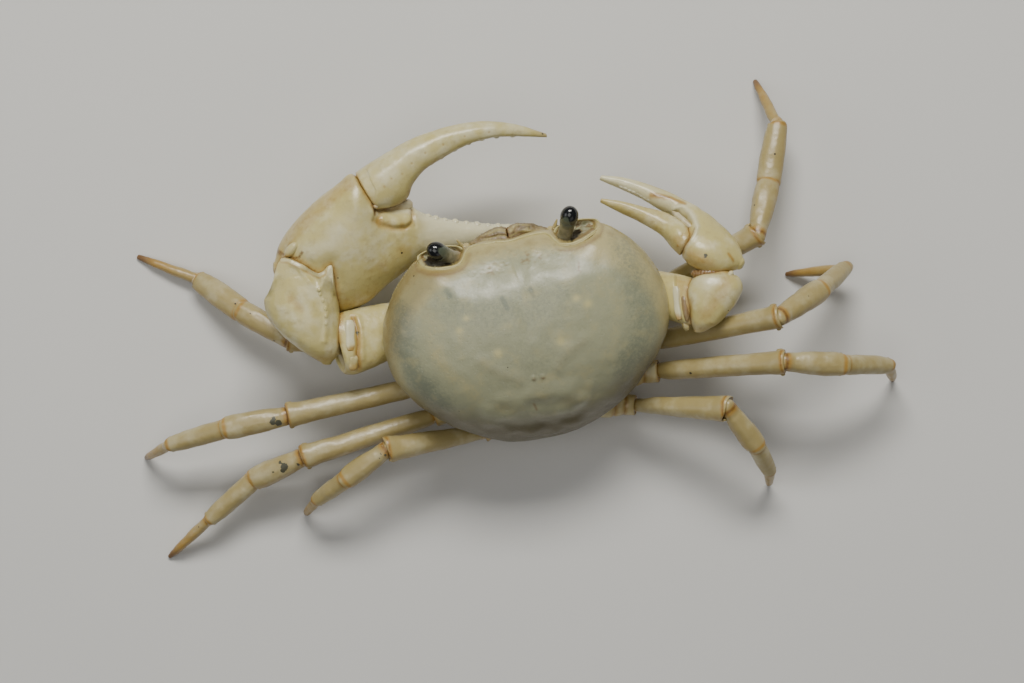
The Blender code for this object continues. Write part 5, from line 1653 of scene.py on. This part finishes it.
def claw_finger(name):
    """Movable finger with its collar, hinge knob and low teeth."""
    rows = FINGER_ROWS[name]
    form = rounded_skin(blade_sweep(rows, 280, 100, 2.2), 0.5, 0.12)
    x, y, z = form.points.T
    upper = ramp(z, -0.2, 0.6)
    lift = 0.03 * form.ripple(3.5, 150) + 0.010 * form.ripple(1.1, 151)
    if name == "left":
        collar = ramp(np.interp(y, *COLLAR) - x, -0.06, 0.1)
        inner = form.away([low for high, low, thick in rows[1:9]])
        spine = form.away(((10.0, 10.6), (13.5, 11.9), (17.5, 12.8), (21.5, 12.6)))
        pits = [((pit,), ("lift", -0.05, 0.14), ("amber", 0.7, 0.16)) for pit in FINGER_PITS]
        lift += form.trace(pits, upper) - 0.12 * collar * upper
        form.paint("white", 0.15 * collar).paint("horn", 0.35 * ramp(x, 25.3, 27.3))
        # Ivory tone with painted highlight along the finger's top
        form.paint("white", 0.5 * bell(spine, 0.9) * upper * ramp(form.ripple(2.4, 152), -0.9, 0.4))
        form.paint("amber", 0.75 * bell(inner, 0.8) * ramp(20.0 - x, 0.0, 6.0))
        form.paint("amber", 0.3 * bell(inner, 0.45))
        form.paint("crease", 0.9 * bell(form.away(((8.4, 7.1), (9.5, 6.85), (10.7, 6.8))), 0.2))
        lobe = knob((8.1, 7.35, 2.0), (8.35, 7.75, 2.35), 0.3).paint("white", 0.9)
        teeth = tooth_row([low for high, low, thick in rows[4:9]], 7, 0.22, -1.0)
    else:
        lift -= 0.07 * ramp(5.75 - x, -0.1, 0.2) * upper
        form.paint("crease", 0.55 * bell(x - 5.0, 0.35)).paint("amber", 0.55 * bell(x - 5.4, 0.7))
        form.paint("amber", 0.35 * ramp(x, 5.0, 9.0)).paint("amber", 0.5 * ramp(y, 0.5, 1.5) * upper)
        lobe = knob((5.3, 1.5, 0.3), (5.75, 1.75, 0.5), 0.26).paint("amber", 0.9)
        teeth = tooth_row([high for high, low, thick in rows[2:5]], 9, 0.06, -1.0)
    form.swell(lift)
    return together([form, lobe, teeth.paint("white", 0.6)]).moved(frame_at(*CLAW_FRAME[name]))


def shade_contacts(form, trees, reach=0.45):
    """Darken a form where it meets its neighbours, as painted shade."""
    nearest = np.full(len(form.points), np.inf)
    for i, spot in enumerate(form.points.tolist()):
        for tree in trees:
            found = tree.find_nearest(Vector(spot), reach * 4)
            if found[0] is not None:
                nearest[i] = min(nearest[i], found[3])
    form.paint("crease", 0.7 * bell(nearest, reach * 0.4)).paint("amber", 0.7 * bell(nearest, reach * 1.2))


def claws():
    """Both claws, each piece darkened with painted shade where it meets the next."""
    for name in SIDES:
        forms = [make(name) for make in (claw_arm, claw_wrist, claw_hand, claw_finger)]
        trees = [form.tree() for form in forms]
        for k, (kind, form) in enumerate(zip(LEG_KINDS, forms)):
            shade_contacts(form, trees[max(k - 1, 0):k] + trees[k + 1:k + 2])
            node = f"cheliped_{name}_{kind}"
            piece(f"{node}_cuticle", form, "claw", node)


def hinge_skins():
    """Soft skin in the claws' joints: at both movable fingers, and at the small wrist and elbow."""
    web = block_lobe((8.9, 6.62, 0.7), (12.1, 6.2, 0.1), 0.5, 0.7)
    x, y, z = web.points.T
    web.swell(0.03 * web.ripple(0.7, 160)).paint("shade", 0.25 + 0.5 * ramp(-x, -10.2, -9.0))
    web.paint("crease", 0.9 * ramp(-x, -9.9, -8.8)).paint("white", 0.55 * ramp(x, 10.0, 11.6))
    piece("big_finger_web", web.moved(frame_at(*CLAW_FRAME["left"])), "membrane")
    lens = knob((8.0, -2.0, 0.5), (5.1, -0.6, 1.0), 0.62, 0.4)
    lens.swell(0.04 * lens.ripple(0.7, 161)).paint("shade", 0.25)
    lens.paint("white", 0.5 + 0.3 * ramp(lens.ripple(0.6, 165), -0.2, 0.5))
    piece("small_finger_web", lens.moved(frame_at(*CLAW_FRAME["right"])), "membrane")
    band = tube(WRIST_SKIN, 0.42, 24, 240)
    wave = np.sin(band.points[:, 1] * 21.0 + 2.0 * band.ripple(1.0, 163))
    # Dark crease over the whole band: its own brown, deepened as painted shade of the gap
    band.swell(0.006 * wave + 0.03 * band.ripple(0.6, 164)).paint("crease", 0.8 + 0.12 * wave)
    piece("small_wrist_skin", band.moved(frame_at(*CARPUS_FRAME["right"])), "membrane")
    lens = knob((8.7, 1.0, 1.0), (10.2, -2.1, 0.8), 0.5, 0.7)
    # Brown and dark on the elbow's membrane: its own colour, deepened as painted shade of the gap
    lens.swell(0.03 * lens.ripple(0.7, 162)).paint("shade", 0.55)
    lens.paint("crease", 0.3 + 0.3 * ramp(lens.ripple(0.7, 166), -0.2, 0.5))
    place = frame_between(Vector(CLAW_ROOT), Vector(MERUS_END["right"]))
    piece("small_elbow_skin", lens.moved(place), "membrane")


# Room

def camera():
    """Straight above the crab, turned as the photograph is."""
    data = bpy.data.cameras.new("camera")
    data.lens = 100.0
    data.sensor_width = 36.0
    data.clip_start = 0.01
    thing = placed_object("camera", data)
    spot = (Vector(CAMERA_SPOT) + Vector(HOME)) * MM
    thing.matrix_world = Matrix.Translation(spot) @ Matrix.Rotation(CAMERA_TURN, 4, "Z")
    bpy.context.scene.camera = thing


def room():
    """Pale floor, a soft key from ahead of the crab, soft light from above and weak fills."""
    recipe = Recipe("floor_paper")
    cloud = recipe.noise(40.0, 2.0)
    fine = recipe.noise(0.8, 3.0)
    recipe.set(Base_Color=recipe.mix(*FLOOR_TINTS, cloud), Roughness=0.85)
    bm = bmesh.new()
    bmesh.ops.create_grid(bm, x_segments=2, y_segments=2, size=1.5)
    mesh = bpy.data.meshes.new("floor")
    bm.to_mesh(mesh)
    bm.free()
    mesh.materials.append(recipe.bump(fine, 0.05, 0.05))
    floor = placed_object("floor", mesh)
    floor.location = (0.0, 0.0, -0.02 * MM)
    for name, spot, size, power, tint in LIGHTS:
        data = bpy.data.lights.new(name, "AREA")
        data.shape = "RECTANGLE"
        data.size, data.size_y = size
        data.energy = power
        data.color = tint
        thing = placed_object(name, data)
        thing.location = spot
        thing.rotation_euler = (Vector(LIGHT_AIM) - Vector(spot)).to_track_quat("-Z", "Y").to_euler()
    world = bpy.data.worlds.new("room")
    world.use_nodes = True
    sky = world.node_tree.nodes["Background"].inputs
    sky["Color"].default_value = (0.9, 0.92, 1.0, 1.0)
    sky["Strength"].default_value = 0.065
    bpy.context.scene.world = world


camera()
room()
carapace()
thorax()
pleon()
mouthparts()
feelers()
eyes()
claws()
hinge_skins()
walking_legs()
